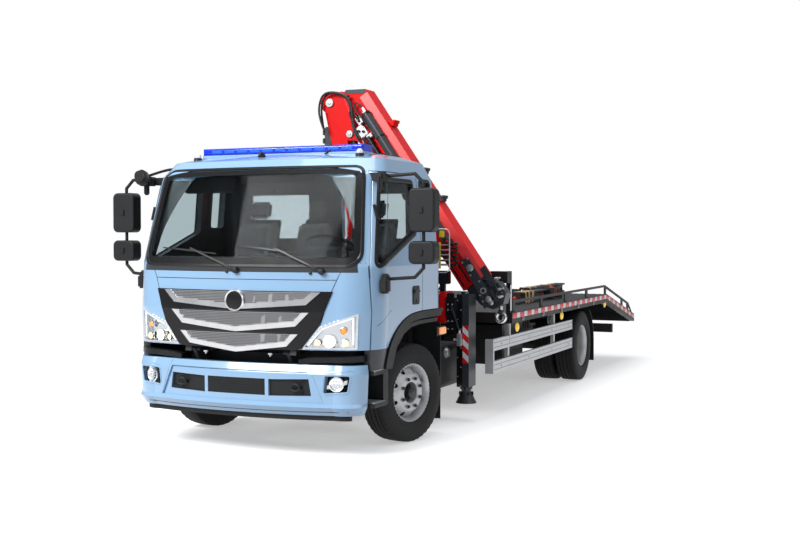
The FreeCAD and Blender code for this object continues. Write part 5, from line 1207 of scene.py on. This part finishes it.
# Extension ram's fittings: gland rings, a bright banjo, clamps, the second slim cylinder, the
# silver valve between them and the hoses, two of which bend over the knuckle.
ram_y = -1.699
for number, (a, radius, wide) in enumerate(((0.335, 0.044, 0.03), (0.6, 0.046, 0.016), (1.1, 0.046, 0.016),
                                            (1.8, 0.044, 0.035))):
    ring = ring_band(0.03, radius, -wide / 2, wide / 2, 28)
    piece("ram_ring_%d" % number, ring, gloss_black, "outer_arm", where=put(on_boom(a, 0.262, ram_y), along, above))
piece("ram_banjo", gather(spun([(0, 0), (0.016, 0), (0.016, 0.06), (0.01, 0.075), (0, 0.075)], 16),
                          block((0.044, 0.034, 0.024), 0.005, (0, 0, 0.02))), valve_silver, "outer_arm",
                          where=put(on_boom(0.33, 0.262, ram_y), -along, above))
slim_tube = [(0, 0), (0.026, 0), (0.026, 0.05), (0.031, 0.052), (0.031, 0.08), (0.026, 0.082), (0.026, 0.66),
             (0.031, 0.662),
             (0.031, 0.7), (0.016, 0.702), (0.016, 0.98), (0, 0.98)]
piece("slim_cylinder", spun(slim_tube, 24), gloss_black, "outer_arm", where=put(on_boom(0.52, 0.15, -1.69), along,
                                                                                above))
valve_parts = [(case((0.115, 0.085, 0.052), 0.006), boom_at(0.44, 0.135, -1.684)),
               (case((0.055, 0.05, 0.045), 0.005), boom_at(0.35, 0.165, -1.68)),
               (case((0.04, 0.06, 0.04), 0.005), boom_at(0.52, 0.17, -1.682))]
for a, h, radius, long in ((0.3, 0.15, 0.017, 0.06), (0.3, 0.195, 0.013, 0.05), (0.515, 0.095, 0.015, 0.05),
                           (0.4, 0.085, 0.013, 0.04)):
    valve_parts.append((spun([(0, 0), (radius, 0), (radius, long * 0.6), (radius * 0.75, long * 0.62),
                              (radius * 0.75, long), (0, long)], 12),
                        put(on_boom(a, h, -1.688), along, above)))
piece("boom_valve", gather(*valve_parts), valve_silver, "outer_arm")
piece("valve_cartridges", gather((button(0.021, 0.075), put(on_boom(0.285, 0.165, -1.688), along, above)),
                                 (case((0.03, 0.024, 0.03), 0.004), boom_at(0.395, 0.185, -1.72)),
                                 (button(0.013, 0.02), boom_at(0.455, 0.15, -1.709)),
                                 (button(0.013, 0.02), boom_at(0.425, 0.115, -1.709))), gloss_black, "outer_arm")
hoses = {"knuckle_front": [(-0.455, 2.66), (-0.485, 2.8), (-0.482, 2.93), (-0.43, 3.012), (-0.35, 3.022),
                           (-0.235, 2.985),
                           (-0.178, 2.9), (-0.165, 2.76), (-0.13, 2.62), (-0.085, 2.555)],
         "knuckle_back": [(-0.44, 2.66), (-0.498, 2.79), (-0.496, 2.92), (-0.45, 3.018), (-0.33, 3.026),
                          (-0.205, 2.985),
                          (-0.15, 2.9), (-0.145, 2.76), (-0.105, 2.63), (-0.06, 2.575)]}
for number, (name, line) in enumerate(hoses.items()):
    y = -1.69 - 0.026 * number
    cord = hose(name + "_cord", [(x, y, z) for x, z in line], 0.0105, hose_rubber, None)
    bpy.context.view_layer.update()
    made = bpy.data.objects.new(name + "_hose", bpy.data.meshes.new_from_object(cord))
    bpy.context.collection.objects.link(made)
    bpy.data.objects.remove(cord)
    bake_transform(made)
piece("hose_clamp", gather(block((0.075, 0.03, 0.018), 0.005, (-0.218, -1.703, 2.98))), gloss_black,
      "outer_arm", "black_plastic")
for name, line, radius in (("ram_loop", [(0.265, 0.262), (0.225, 0.262), (0.175, 0.235), (0.2, 0.195),
                                         (0.34, 0.205), (0.6, 0.225),
                                         (0.95, 0.215), (1.25, 0.2)], 0.0085),
                           ("valve_loop", [(0.285, 0.165), (0.235, 0.165), (0.205, 0.14), (0.24, 0.115),
                                           (0.38, 0.095), (0.44, 0.1)], 0.0085),
                           ("long_run", [(0.49, 0.105), (0.6, 0.085), (0.85, 0.165), (1.3, 0.165), (1.9, 0.165)],
                            0.009)):
    hose("boom_hose_" + name, [tuple(on_boom(a, h, -1.702)) for a, h in line], radius, hose_rubber, "outer_arm")
for number, a in enumerate((1.073, 1.389, 0.52)):
    guide = gather(case((0.06, 0.03, 0.12), 0.006), block((0.03, 0.04, 0.13), 0.01, (0, 0.026, 0)))
    piece("hose_guide_%d" % number, guide, slate if number < 2 else crane_red, "outer_arm", "crane_black",
          where=boom_at(a, 0.388, boom_y + 0.02))


# Extension end: cover plates, bolts, bright pins, fittings with their hose, and the hook's swivel
# and latch. All of it slides out with the extension.
arm_face = -1.689
for number, (a, h, radius) in enumerate(((2.102, 0.305, 0.034), (2.433, 0.292, 0.03), (2.473, 0.296, 0.024))):
    piece("extension_pin_%d" % number, pin_head(radius, 0.0065, 0.008), pin_steel, "extension",
          where=boom_at(a, h, -1.7))
ring = turned([(0.0, 0.016), (0.0, 0.03), (0.012, 0.028), (0.012, 0.018), (0.0, 0.016)], 28)
piece("extension_eye", ring, pin_steel, "extension", where=facing(on_boom(2.342, 0.293, arm_face), (0, -1, 0)))
bolts = [on_boom(a, h, arm_face) for a, h in ((2.02, 0.27), (2.02, 0.33), (2.16, 0.27), (2.25, 0.31), (2.36, 0.245),
                                              (2.42, 0.235))]
repeat("extension_bolts", drum(6, 0.01, 0.009, 0.9, 0.0015), bolts, outwards_ahead, pin_steel, "extension")
plates = [(case((0.2, 0.065, 0.01), 0.004), boom_at(2.255, 0.395, -1.66)), (case((0.13, 0.05, 0.012), 0.004),
                                                                            boom_at(2.43, 0.34, -1.655))]
plates += [(case((0.012, 0.15, 0.014), 0.004), boom_at(2.245 + 0.055 * n, 0.335, -1.65, 0.5)) for n in range(3)]
piece("extension_ribs", gather(*plates), slate, "extension")
for number, (a, h) in enumerate(((2.3, 0.425), (2.4, 0.405), (2.46, 0.37))):
    piece("extension_fitting_%d" % number, gather(spun([(0, 0), (0.014, 0), (0.014, 0.03), (0.009, 0.032),
                                                        (0.009, 0.055), (0, 0.055)], 12)), valve_silver,
                                                        "extension",
                                                        where=put(on_boom(a, h - 0.01, -1.6 - 0.02 * number),
                                                                  above + along * 0.4, (0, -1, 0)))
hose("extension_hose", [tuple(on_boom(a, h, -1.66)) for a, h in ((2.24, 0.33), (2.3, 0.4), (2.4, 0.405),
                                                                 (2.47, 0.34), (2.46, 0.26))], 0.009, hose_rubber,
                                                                 "extension")
hook_top = on_boom(2.53, 0.312, boom_y)
piece("hook_swivel", gather((spun([(0, -0.03), (0.024, -0.03), (0.026, 0.0), (0.02, 0.012), (0, 0.012)], 20),
                             move(hook_top + Vector((0, 0, -0.045))))), slate, "extension")
piece("hook_latch", gather((case((0.01, 0.018, 0.07), 0.003),
                            move(hook_top + Vector((0.018, 0, -0.11))) @ Matrix.Rotation(0.35, 4, "Y"))), pin_steel,
                            "extension")


# Outriggers: red flanges on the housing, black bolted bracket and valve by each leg, striped
# tape on the legs' outer halves, gland on each foot. The same on both sides.
def striped(name, start, run, rise, out, pitch, lean, body):
    start, run, rise, out = Vector(start), Vector(run), Vector(rise), Vector(out)
    long, way = run.length, run.normalized()
    base = bmesh.new()
    rows = [[base.verts.new(start + way * s + rise * r + out * d) for r, d in ((0, -0.001), (0, 0.0012),
                                                                               (1, 0.0012), (1, -0.001))]
            for s in (0, long)]
    piece(name, rings_to_skin(base, rows, False), tape_white, body)
    reds = []
    upright = Matrix((way, rise.normalized(), out)).transposed().to_4x4()
    for number in range(-2, int(long / (2 * pitch)) + 2):
        s = number * 2 * pitch
        corners = [(min(max(a, 0), long), r) for a, r in ((s, 0), (s + pitch, 0), (s + pitch + lean, 1),
                                                          (s + lean, 1))]
        if corners[1][0] - corners[0][0] + corners[2][0] - corners[3][0] > pitch * 0.2:
            stripe = plate([(a, r * rise.length) for a, r in corners], 0.0012)
            reds.append((stripe, move(start + out * 0.0018) @ upright))
    piece(name + "_red", tidy(gather(*reds)), tape_red, body)


for side, letter in both_sides:
    leg = letter + "_outrigger"
    face = -1.8905
    striped("leg_stripes_" + letter, (side * 1.034, face, 0.525), (0, 0, 0.336), (side * 0.056, 0, 0), (0, -1, 0),
            0.056, -0.05, leg)
    piece("leg_cover_" + letter, gather(block((0.052, 0.012, 0.8), 0.003, (side * 1.006, -1.893, 0.735)),
                                        block((0.112, 0.176, 0.012), 0.004, (side * 1.035, -1.8, 1.136)),
                                        (spun([(0, 0), (0.02, 0), (0.018, 0.02), (0, 0.024)], 16),
                                         move((side * 1.02, -1.84, 1.138)))), gloss_black, leg)
    spots = [(side * (0.99 + 0.03 * (n % 2)), -1.899, 1.085 - 0.085 * n) for n in range(10)]
    repeat("leg_bolts_" + letter, drum(6, 0.008, 0.007, 0.9, 0.0012), spots, outwards_ahead, pin_steel, leg)
    valve = gather(block((0.042, 0.03, 0.115), 0.004, (side * 1.012, -1.912, 0.735)),
                   (rod(0.01, 0.035, 12), put((side * 0.992, -1.912, 0.735), (-side, 0, 0))),
                   (button(0.012, 0.03), put((side * 1.012, -1.912, 0.792), (0, 0, 1), (0, 1, 0))))
    piece("leg_valve_" + letter, valve, valve_silver, leg)
    hose("leg_hose_" + letter, [(side * 1.012, -1.912, 0.8), (side * 0.99, -1.93, 0.9), (side * 0.955, -1.925,
                                                                                         0.98),
                                                                                         (side * 0.94, -1.915,
                                                                                          1.04)], 0.009,
                                                                                          hose_rubber, leg)
    bracket = gather(block((0.07, 0.014, 0.37), 0.004, (side * 0.925, -1.908, 0.965)),
                     block((0.05, 0.03, 0.06), 0.006, (side * 0.925, -1.916, 1.1)))
    piece("leg_bracket_" + letter, bracket, gloss_black, leg)
    spots = [(side * x, -1.9165, z) for z in (0.83, 0.9, 1.0, 1.05) for x in (0.905, 0.945)]
    repeat("bracket_bolts_" + letter, drum(6, 0.0085, 0.008, 0.9, 0.0012), spots, outwards_ahead, valve_silver, leg)
    collar = gather(block((0.05, 0.225, 0.02), 0.006, (side * 0.845, -1.8, 1.15)),
                    block((0.052, 0.018, 0.25), 0.007, (side * 0.845, -1.916, 1.02)))
    piece("housing_flange_" + letter, collar, crane_red, "chassis")
    gland = spun([(0.045, 0), (0.058, 0), (0.058, 0.02), (0.05, 0.026), (0.045, 0.026), (0.045, 0)], 28)
    piece("leg_gland_" + letter, gland, gloss_black, leg, where=move((side * 1.035, -1.8, 0.286)))
    ribs = [(case((0.01, 0.05, 0.03), 0.003), move((side * 1.035, -1.8, 0.245)) @ Matrix.Rotation(n * math.tau / 8,
                                                                                                  4, "Z") @
             move((0, 0.045, 0))) for n in range(8)]
    piece("foot_ribs_" + letter, gather(*ribs), slate, letter + "_foot")


# Lever bank beside the column: valve block, black levers with round knobs, yellow gauge strip,
# and a bright wire guard round them, bolted to the crane base.
bank = [block((0.26, 0.085, 0.12), 0.006, (0.735, -1.78, 1.285)),
        block((0.05, 0.06, 0.42), 0.006, (0.64, -1.76, 1.36))]
for number in range(6):
    z = 1.59 - 0.038 * number
    bank.append((rod(0.009, 0.17, 10), put((0.76, -1.8, z), (1, 0, 0))))
    bank.append((spun([(0, 0), (0.013, 0.004), (0.017, 0.016), (0.013, 0.028), (0, 0.032)], 14),
                 put((0.925, -1.8, z), (1, 0, 0))))
piece("lever_bank", gather(*bank), gloss_black, "chassis")
piece("lever_strip", gather(block((0.02, 0.008, 0.24), 0.002, (0.792, -1.835, 1.485)),
                            block((0.04, 0.03, 0.06), 0.004, (0.812, -1.835, 1.678))), safety_yellow, "chassis")
piece("lever_knobs", gather(*[(button(0.012, 0.018), put((0.86, -1.822, 1.685 - 0.075 * n))) for n in range(3)]),
      crane_red, "chassis")
guard_y = -1.85
loop = rounded([(0.6, 1.722), (0.892, 1.722), (0.892, 1.33), (0.6, 1.33)], 0.05)
hose("lever_guard", [(x, guard_y, z) for x, z in loop], 0.0055, valve_silver, "chassis", smooth=False, closed=True)
rungs = [(rod(0.0042, 0.29, 8), put((0.6, guard_y, z), (1, 0, 0))) for z in
         (1.4, 1.445, 1.49, 1.535, 1.58)]
rungs += [(rod(0.0042, 0.1, 8), put((x, guard_y, 1.4), (0, 1, 0), (1, 0, 0))) for x in (0.7, 0.86)]
piece("guard_wires", gather(*rungs), valve_silver, "chassis")
for number, x in enumerate((0.66, 0.72, 0.78)):
    hose("bank_hose_%d" % number, [(x, -1.79, 1.235), (x + 0.01, -1.8, 1.2), (x, -1.85, 1.17), (x - 0.02, -1.925,
                                                                                                1.14),
                                                                                                (x - 0.02, -1.93,
                                                                                                 1.04)], 0.009,
                                                                                                 hose_rubber,
                                                                                                 "chassis")
posts = [block((0.05, 0.05, 0.115), 0.008, (x, -1.78, 1.205)) for x in (0.64, 0.8)]
piece("bank_posts", gather(*posts), gloss_black, "chassis")
column_bolts = [Vector((-0.1 + a, -1.555 + b, 1.152)) for a, b in circle(14, 0.168, 0.168)]
repeat("slew_bolts", drum(6, 0.011, 0.012, 0.9, 0.002), column_bolts, Vector((0, 0, 1)), pin_steel, "chassis")
piece("slew_ring", ring_band(0.15, 0.186, 0, 0.012, 40), gloss_black, "chassis", where=move((-0.1, -1.555, 1.1405)))
for name, x, z, radius in (("heel_pin_cap", -0.16, 1.86, 0.04), ("foot_pin_cap", 0.12, 1.29, 0.03)):
    piece(name, pin_head(radius, 0.014, 0.02), pin_steel, "column", where=put((x, -1.6655, z)))
for side in (-1, 1):
    lean = Vector((-0.25, 0, 1.07)).normalized()
    spots = [(Vector((-0.17, boom_y + side * 0.072, 1.98)) + lean * d, Vector((0, side, 0))) for d in (0.0, 0.3,
                                                                                                       0.62)]
    piece("inner_boom_weld_%d" % side, ribbon(spots, 0.01, 0.004), crane_red, "inner_arm")


# Bed deck and edge: raised lozenges on the deck, red and white tape along both edges, round yellow
# side markers on their brackets, bright struts, and the bolts of the rails and of the deck's head.
marker_yellow = finish("marker_yellow", (0.95, 0.6, 0.01), 0.2, bump=0.03, coat=0.5, Emission_Color=(1.0, 0.62,
                                                                                                     0.01, 1),
                       Emission_Strength=0.35, slot="lamp_glass")
galvanised = finish("galvanised", (0.5, 0.51, 0.52), 0.42, metallic=0.75, mottle=0.25, grain=9.0, bump=0.08,
                    slot="guard_alu")
# Darker grey for the guard rails' grooves: painted shade laid on the flat rail as thin strips.
groove_shade_grey = finish("groove_shade_grey", (0.24, 0.24, 0.25), 0.5, metallic=0.6, mottle=0.2, bump=0.05, slot="guard_alu")
deck_skin = skin("deck_plate")
edge_skin = skin("bed_frame", "deck_plate")
rail_skin = skin("bed_rails")
for slant in (1, -1):
    lozenge = bmesh.new()
    half_long, half_wide, ridge_half, ridge_high, pitch = 0.017, 0.0045, 0.011, 0.0022, 0.074
    turn = Matrix.Rotation(slant * 0.79, 3, "Z")
    tips = [(half_long, 0, 0), (0, half_wide, 0), (-half_long, 0, 0), (0, -half_wide, 0),
            (ridge_half, 0, ridge_high), (-ridge_half, 0, ridge_high)]
    corners = [lozenge.verts.new(turn @ Vector(tip)) for tip in tips]
    for face in ((0, 1, 4), (1, 5, 4), (1, 2, 5), (2, 3, 5), (3, 4, 5), (3, 0, 4)):
        lozenge.faces.new([corners[corner] for corner in face])
    starts = [(-1.18 + pitch * column, -1.19 + pitch * row, 1.6) for row in range(71) for column in range(33)
              if (row + column) % 2 == (slant > 0)]
    on_deck = [hit for hit in laid(deck_skin, starts, (0, 0, -1)) if hit[1].z > 0.9]
    repeat("deck_lozenges_%s" % ("a" if slant > 0 else "b"), lozenge, *zip(*on_deck), deck_black, "chassis")
for side, letter in both_sides:
    lengths, strips = {"red": 0.135, "white": 0.095}, {"red": [], "white": []}
    tape_start, tape_stop, tape_end, tape_z, knee_y, tail_fall = -1.215, 4.03, 4.05, 0.9085, 2.5, 0.2222
    y, colour = tape_start, "red"
    while y < tape_stop:
        end = min(y + lengths[colour], tape_end)
        line = [(side * 3.0, at, tape_z - max(0, at - knee_y) * tail_fall) for at in (y, (y + end) / 2,
                                                                                      end - 0.004)]
        spots = laid(edge_skin, line, (-side, 0, 0))
        if len(spots) == 3:
            strips[colour].append(ribbon(spots, 0.048, 0.0012, crown=0.95))
        y, colour = end, ("white" if colour == "red" else "red")
    for colour, parts_used in strips.items():
        piece("edge_tape_%s_%s" % (colour, letter), gather(*parts_used), tape_red
              if colour == "red" else tape_white,
              "chassis", "red_lens" if colour == "red" else "lamp_glass")
    for number, (at, z) in enumerate(((-1.004, 0.79), (0.548, 0.8), (2.482, 0.822))):
        bracket = gather(block((0.004, 0.05, 0.11), 0.0015, (0, 0, 0.045)),
                         block((0.03, 0.05, 0.004), 0.0015, (side * -0.013, 0, 0.098)))
        piece("marker_bracket_%d_%s" % (number, letter), bracket, chassis_black, "chassis",
              where=move((side * 1.252, at, z)))
        lens = spun([(0, 0.018), (0.018, 0.017), (0.036, 0.012), (0.044, 0.004), (0.045, 0), (0, 0)], 28)
        bmesh.ops.scale(lens, vec=(1.15, 1, 1), verts=lens.verts)
        piece("side_marker_%d_%s" % (number, letter), lens, marker_yellow, "chassis",
              where=put((side * 1.254, at, z), (side, 0, 0)))
    post_tape = laid(rail_skin, [(side * 3.0, -1.205, z) for z in (0.96, 1.08, 1.2)], (-side, 0, 0))
    if len(post_tape) == 3:
        piece("post_tape_" + letter, ribbon(post_tape, 0.04, 0.0012, crown=0.95), tape_white, "chassis",
              "lamp_glass")
    rail_spots = laid(rail_skin, [(side * 3.0, -1.1 + 0.34 * n, z) for n in range(15) for z in (0.7, 0.66, 1.27)],
                      (-side, 0, 0))
    rail_spots = [hit for hit in rail_spots if abs(hit[0].x) > 1.0]
    if rail_spots:
        repeat("rail_bolts_" + letter, drum(6, 0.01, 0.008, 0.9, 0.002), *zip(*rail_spots), pin_steel, "chassis")
    strut = gather(case((0.034, 0.034, 0.235), 0.006), block((0.06, 0.06, 0.008), 0.002, (0, 0, 0.1165)))
    piece("bed_strut_" + letter, strut, galvanised, "chassis", where=move((side * 1.235, -1.2, 0.76)))
head_bolts = laid(deck_skin, [(0.3 * n - 1.05, -1.19, 1.6) for n in range(8)], (0, 0, -1))
repeat("deck_bolts", drum(8, 0.012, 0.005, 0.85, 0.002), *zip(*head_bolts), pin_steel, "chassis")


# Gear on the bed: two black carry beams with red end dots, lashed by tan webbing, and the winch
# block with its red drum, rope and side plates. All of it stands on the deck.
webbing = finish("tan_webbing", (0.62, 0.42, 0.2), 0.85, mottle=0.22, grain=30.0, bump=0.35, slot="seat_cloth")
beam_black = finish("beam_black", (0.018, 0.018, 0.02), 0.5, mottle=0.3, grain=8.0, bump=0.1, slot="black_plastic")
winch_red = finish("winch_red", (0.55, 0.012, 0.012), 0.42, mottle=0.2, grain=6.0, bump=0.06, coat=0.2,
                   slot="crane_red")
rope_grey = finish("wire_rope", (0.34, 0.33, 0.31), 0.45, metallic=0.7, mottle=0.3, grain=22.0, bump=0.2,
                   slot="bare_steel")
for number, (x, start, end, low_z, high) in enumerate(((0.9, 0.02, 1.0, 0.941, 0.12), (0.6, 0.95, 2.44, 0.941,
                                                                                       0.115))):
    profile = [(-0.06, 0), (0.06, 0), (0.06, 0.018), (0.03, 0.03), (0.03, high - 0.03), (0.06, high - 0.018),
               (0.06, high), (-0.06, high), (-0.06, high - 0.018), (-0.03, high - 0.03), (-0.03, 0.03),
               (-0.06, 0.018)]
    beam = plate(rounded(profile, 0.006, 3), end - start, 0.0015)
    bmesh.ops.rotate(beam, cent=(0, 0, 0), matrix=Matrix.Rotation(math.pi / 2, 3, "X"), verts=beam.verts)
    shift = move((x, end - (end - start) / 2, low_z))
    middle = sum(v.co.y for v in beam.verts) / len(beam.verts)
    piece("carry_beam_%d" % number, beam, beam_black, "chassis", where=shift @ move((0, -middle, 0)))
    caps, dots = [], []
    for at, out in ((start, -1), (end, 1)):
        caps.append(block((0.126, 0.014, high + 0.004), 0.006, (x, at, low_z + high / 2)))
        dots.append((button(0.022, 0.006), put((x, at + out * 0.007, low_z + high * 0.52), (0, out, 0))))
        dots.append((button(0.02, 0.005), put((x + 0.0305, at - out * 0.08, low_z + high * 0.52), (1, 0, 0))))
    piece("beam_caps_%d" % number, gather(*caps), beam_black, "chassis")
    piece("beam_dots_%d" % number, gather(*dots), winch_red, "chassis")
    loop_lines = (0.22, 0.31, 0.42) if number == 0 else (0.28, 0.4, 0.78)
    for turn_number, part_way in enumerate(loop_lines):
        at = start + (end - start) * part_way
        lean = 0.035 * (turn_number - 1)
        ring = [(x + 0.0632, low_z + 0.004), (x + 0.0632, low_z + high + 0.003), (x - 0.0632, low_z + high + 0.003),
                (x - 0.0632, low_z + 0.004)]
        spots = []
        for px, pz in even(rounded(ring, 0.008, 3), 0.03):
            out = Vector((px - x, 0, (pz - low_z - high / 2) * 0.7)).normalized()
            spots.append((Vector((px, at + lean * (pz - low_z) / high, pz)), out))
        piece("beam_strap_%d_%d" % (number, turn_number), ribbon(spots, 0.05, 0.003), webbing, "chassis")
winch = move((0.9, 1.25, 0.94)) @ Matrix.Scale(0.8, 4)
frame_parts = [block((0.3, 0.02, 0.165), 0.006, (0, y, 0.083)) for y in (-0.2, 0.2)]
frame_parts += [block((0.3, 0.4, 0.012), 0.003, (0, 0, 0.0065)),
                block((0.026, 0.4, 0.03), 0.006, (0.13, 0, 0.15)),
                block((0.026, 0.4, 0.03), 0.006, (-0.13, 0, 0.15)),
                block((0.11, 0.12, 0.11), 0.02, (-0.02, 0.26, 0.08))]
piece("winch_frame", gather(*frame_parts), beam_black, "chassis", "crane_black", where=winch)
drum_profile = [(0, -0.185), (0.078, -0.185), (0.078, -0.172), (0.04, -0.168), (0.04, 0.168), (0.078, 0.172),
                (0.078, 0.185), (0, 0.185)]
piece("winch_drum", spun([(r, z) for r, z in reversed(drum_profile)], 28), winch_red, "chassis",
      where=winch @ put((0, 0, 0.09), (0, 1, 0)))
rope = [(0.052 * math.cos(t / 14 * math.tau), -0.155 + 0.31 * t / (14 * 17), 0.052 * math.sin(t / 14 * math.tau))
        for t in range(14 * 17)]
hose("winch_rope", [winch @ Vector((a, b, c + 0.09)) for a, b, c in rope], 0.008, rope_grey, "chassis",
     smooth=False)


# Under the bed edge: galvanised bracket discs on their arms, a dark valve box with its pipe and
# the lashing eyes. At the back: the tail lamps' chambers and dividers, and the blank plate.
for side, letter in both_sides:
    for number, (y_from, y_to, z_from, z_to) in enumerate(((-0.67, -0.355, 0.64, 0.836), (1.075, 1.403, 0.65,
                                                                                          0.8))):
        middle_y, middle_z = (y_from + y_to) / 2, (z_from + z_to) / 2
        half_y, half_z = (y_to - y_from) / 2, (z_to - z_from) / 2
        disc = plate(round_box(half_y, half_z, half_z * 0.85, 8), 0.008, 0.002)
        parts_used = [disc]
        for a, b in ((-0.6, 0.45), (0.6, 0.45), (-0.6, -0.45), (0.6, -0.45), (0, 0)):
            parts_used.append((button(0.013 if a else 0.03, 0.01), move((a * half_y, b * half_z, 0.007))))
        piece("bracket_disc_%d_%s" % (number, letter), gather(*parts_used), galvanised, "chassis",
              where=put((side * 0.944, middle_y, middle_z), (side, 0, 0)))
        arm = gather(case((0.47, 0.06, 0.05), 0.006), block((0.47, 0.05, 0.012), 0.003, (0, 0, 0.04)))
        piece("bracket_arm_%d_%s" % (number, letter), arm, chassis_black, "chassis",
              where=move((side * 0.715, middle_y, middle_z)))
    box_at = move((side * 0.86, 0.217, 0.728))
    cells = [case((0.18, 0.355, 0.145), 0.012), block((0.3, 0.08, 0.06), 0.006, (side * -0.22, 0, 0))]
    cells += [block((0.006, 0.06, 0.1), 0.003, (side * 0.092, -0.12 + 0.08 * n, 0)) for n in range(4)]
    piece("valve_box_" + letter, gather(*cells), black_plastic, "chassis", where=box_at)
    hose("air_pipe_" + letter, [(side * 0.86, 0.03, 0.74), (side * 0.84, -0.12, 0.7), (side * 0.74, -0.3, 0.7),
                                (side * 0.5, -0.42, 0.74)], 0.008, hose_rubber, "chassis")
    eyes = laid(edge_skin, [(side * 3.0, -0.9 + 0.68 * n, 0.868 if n < 5 else 0.835) for n in range(6)],
                (-side, 0, 0))
    for number, (spot, _) in enumerate(eyes):
        loop = [Vector((side * 0.004, a, b)) for a, b in circle(14, 0.022, 0.018)]
        hose("lashing_eye_%d_%s" % (number, letter), [spot + p for p in loop], 0.0045, pin_steel, "chassis",
             smooth=False, closed=True)
lamp_back = skin("tail_lamps")
for side, letter in both_sides:
    for x, wide, tint, tag in ((0.915, 0.05, marker_clear, "reverse"), (0.975, 0.05, amber, "turn")):
        spots = laid(lamp_back, [(side * x, 6, z) for z in (0.418, 0.455, 0.492)], (0, -1, 0), -0.001)
        if len(spots) == 3:
            piece("tail_%s_%s" % (tag, letter), ribbon(spots, wide, 0.004), tint, "chassis", "lamp_glass")
    dividers = [laid(lamp_back, [(side * x, 6, z) for z in (0.412, 0.455, 0.498)], (0, -1, 0))
                for x in (0.945, 1.005, 1.068)]
    dividers = [ribbon(spots, 0.005, 0.006) for spots in dividers if len(spots) == 3]
    if dividers:
        piece("tail_dividers_" + letter, gather(*dividers), gloss_black, "chassis", "gloss_black")
under_skin = skin("rear_underrun")
hits = laid(under_skin, [(0.51, 6, 0.455)], (0, -1, 0))
if hits:
    blank = plate(round_box(0.23, 0.045, 0.01), 0.003, 0.001)
    piece("blank_plate", blank, marker_clear, "chassis", "silver_trim", where=put(hits[0][0], (0, 1, 0)))


# Steps, guards and running gear: ribbed galvanised step pads, an amber lamp behind the cab,
# guard rails with grooves in painted shade and end caps, spring clamps on both axles, and the tank's filler caps
# and bands.
guard_skin = skin("side_guards")
box_skin = skin("side_boxes")
for side, letter in both_sides:
    for number, z in enumerate((0.654, 0.412)):
        treads = [block((0.215, 0.19, 0.004), 0.001, (side * 0.935, -3.664, z + 0.0015))]
        treads += [block((0.205, 0.01, 0.007), 0.002, (side * 0.935, -3.748 + 0.024 * n, z + 0.005))
                   for n in range(8)]
        treads.append(block((0.215, 0.004, 0.022), 0.001, (side * 0.935, -3.76, z - 0.008)))
        piece("step_tread_%d_%s" % (number, letter), gather(*treads), galvanised, "chassis")
    lamp = gather(block((0.016, 0.15, 0.058), 0.006, (side * 1.052, -2.425, 0.858)))
    piece("cab_marker_" + letter, lamp, amber, "cab")
    holder = gather(block((0.016, 0.2, 0.078), 0.005, (side * 1.04, -2.44, 0.858)))
    piece("cab_marker_base_" + letter, holder, black_plastic, "cab")
    for row, z in enumerate((0.6725, 0.47)):
        # Two thin strips per rail in the darker grey, painted shade for its grooves.
        for shift in (-0.022, 0.022):
            line = laid(guard_skin, even([(side * 3.0, -1.66, z + shift), (side * 3.0, 1.0, z + shift)], 0.2),
                        (-side, 0, 0))
            line = [hit for hit in line if abs(hit[0].x) > 1.1]
            if len(line) > 2:
                piece("guard_groove_%d_%s_%s" % (row, "low" if shift < 0 else "high", letter), ribbon(line, 0.006,
                                                                                                      0.001),
                                                                                                      groove_shade_grey,
                                                                                                      "chassis")
        rail_end, inset = 1.014, 0.012
        spot = laid(guard_skin, [(side * 3.0, rail_end - inset, z)], (-side, 0, 0))
        if spot:
            cap = case((0.034, 0.016, 0.112), 0.006)
            piece("guard_cap_back_%d_%s" % (row, letter), cap, black_plastic, "chassis",
                  where=move((spot[0][0].x - side * 0.014, rail_end, z)))
    bolts = laid(guard_skin, [(side * 3.0, y, z) for y in (-1.45, -0.6, 0.2, 0.86) for z in (0.6725, 0.47)],
                 (-side, 0, 0))
    bolts = [hit for hit in bolts if abs(hit[0].x) > 1.1]
    repeat("guard_bolts_" + letter, drum(6, 0.009, 0.006, 0.9, 0.002), *zip(*bolts), pin_steel, "chassis")
for name in ("rear_axle", "front_axle"):
    axle_skin = skin(name)
    low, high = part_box(name)
    middle_y = (low[1] + high[1]) / 2
    for side, letter in both_sides:
        for number, shift in enumerate((-0.075, 0.075)):
            x = 0.43
            top = laid(axle_skin, [(side * x, middle_y + shift, 2.0)], (0, 0, -1))
            under = laid(axle_skin, [(side * x, middle_y + shift, -1.0)], (0, 0, 1))
            if top and under and top[0][0].z - under[0][0].z > 0.02:
                tall = top[0][0].z - under[0][0].z + 0.016
                clamp = gather(case((0.096, 0.016, tall), 0.004),
                               block((0.11, 0.03, 0.012), 0.003, (0, 0, tall / 2 - 0.004)))
                piece("spring_clamp_%s_%d_%s" % (name, number, letter), clamp, pin_steel, "chassis",
                      where=move((side * x, middle_y + shift, (top[0][0].z + under[0][0].z) / 2)))
for number, y in enumerate((-1.95, -0.8)):
    cap_spot = laid(box_skin, [(3.0, y, 0.62)], (-1, 0, 0))
    if cap_spot:
        cap = spun([(0, 0.03), (0.03, 0.029), (0.04, 0.024), (0.043, 0.006), (0.05, 0.004), (0.05, 0), (0, 0)], 28)
        piece("tank_cap_%d" % number, cap, black_plastic if number else pin_steel, "chassis", "black_plastic",
              where=put(*cap_spot[0]))
for y in (-2.15, -1.75, -1.25, -0.6):
    line = [(3.0, y, z) for z in (0.34, 0.45, 0.56, 0.67, 0.76)]
    spots = laid(box_skin, line, (-1, 0, 0))
    if len(spots) == 5:
        piece("tank_band_%d" % round(-100 * y), ribbon(spots, 0.032, 0.004), galvanised, "chassis")
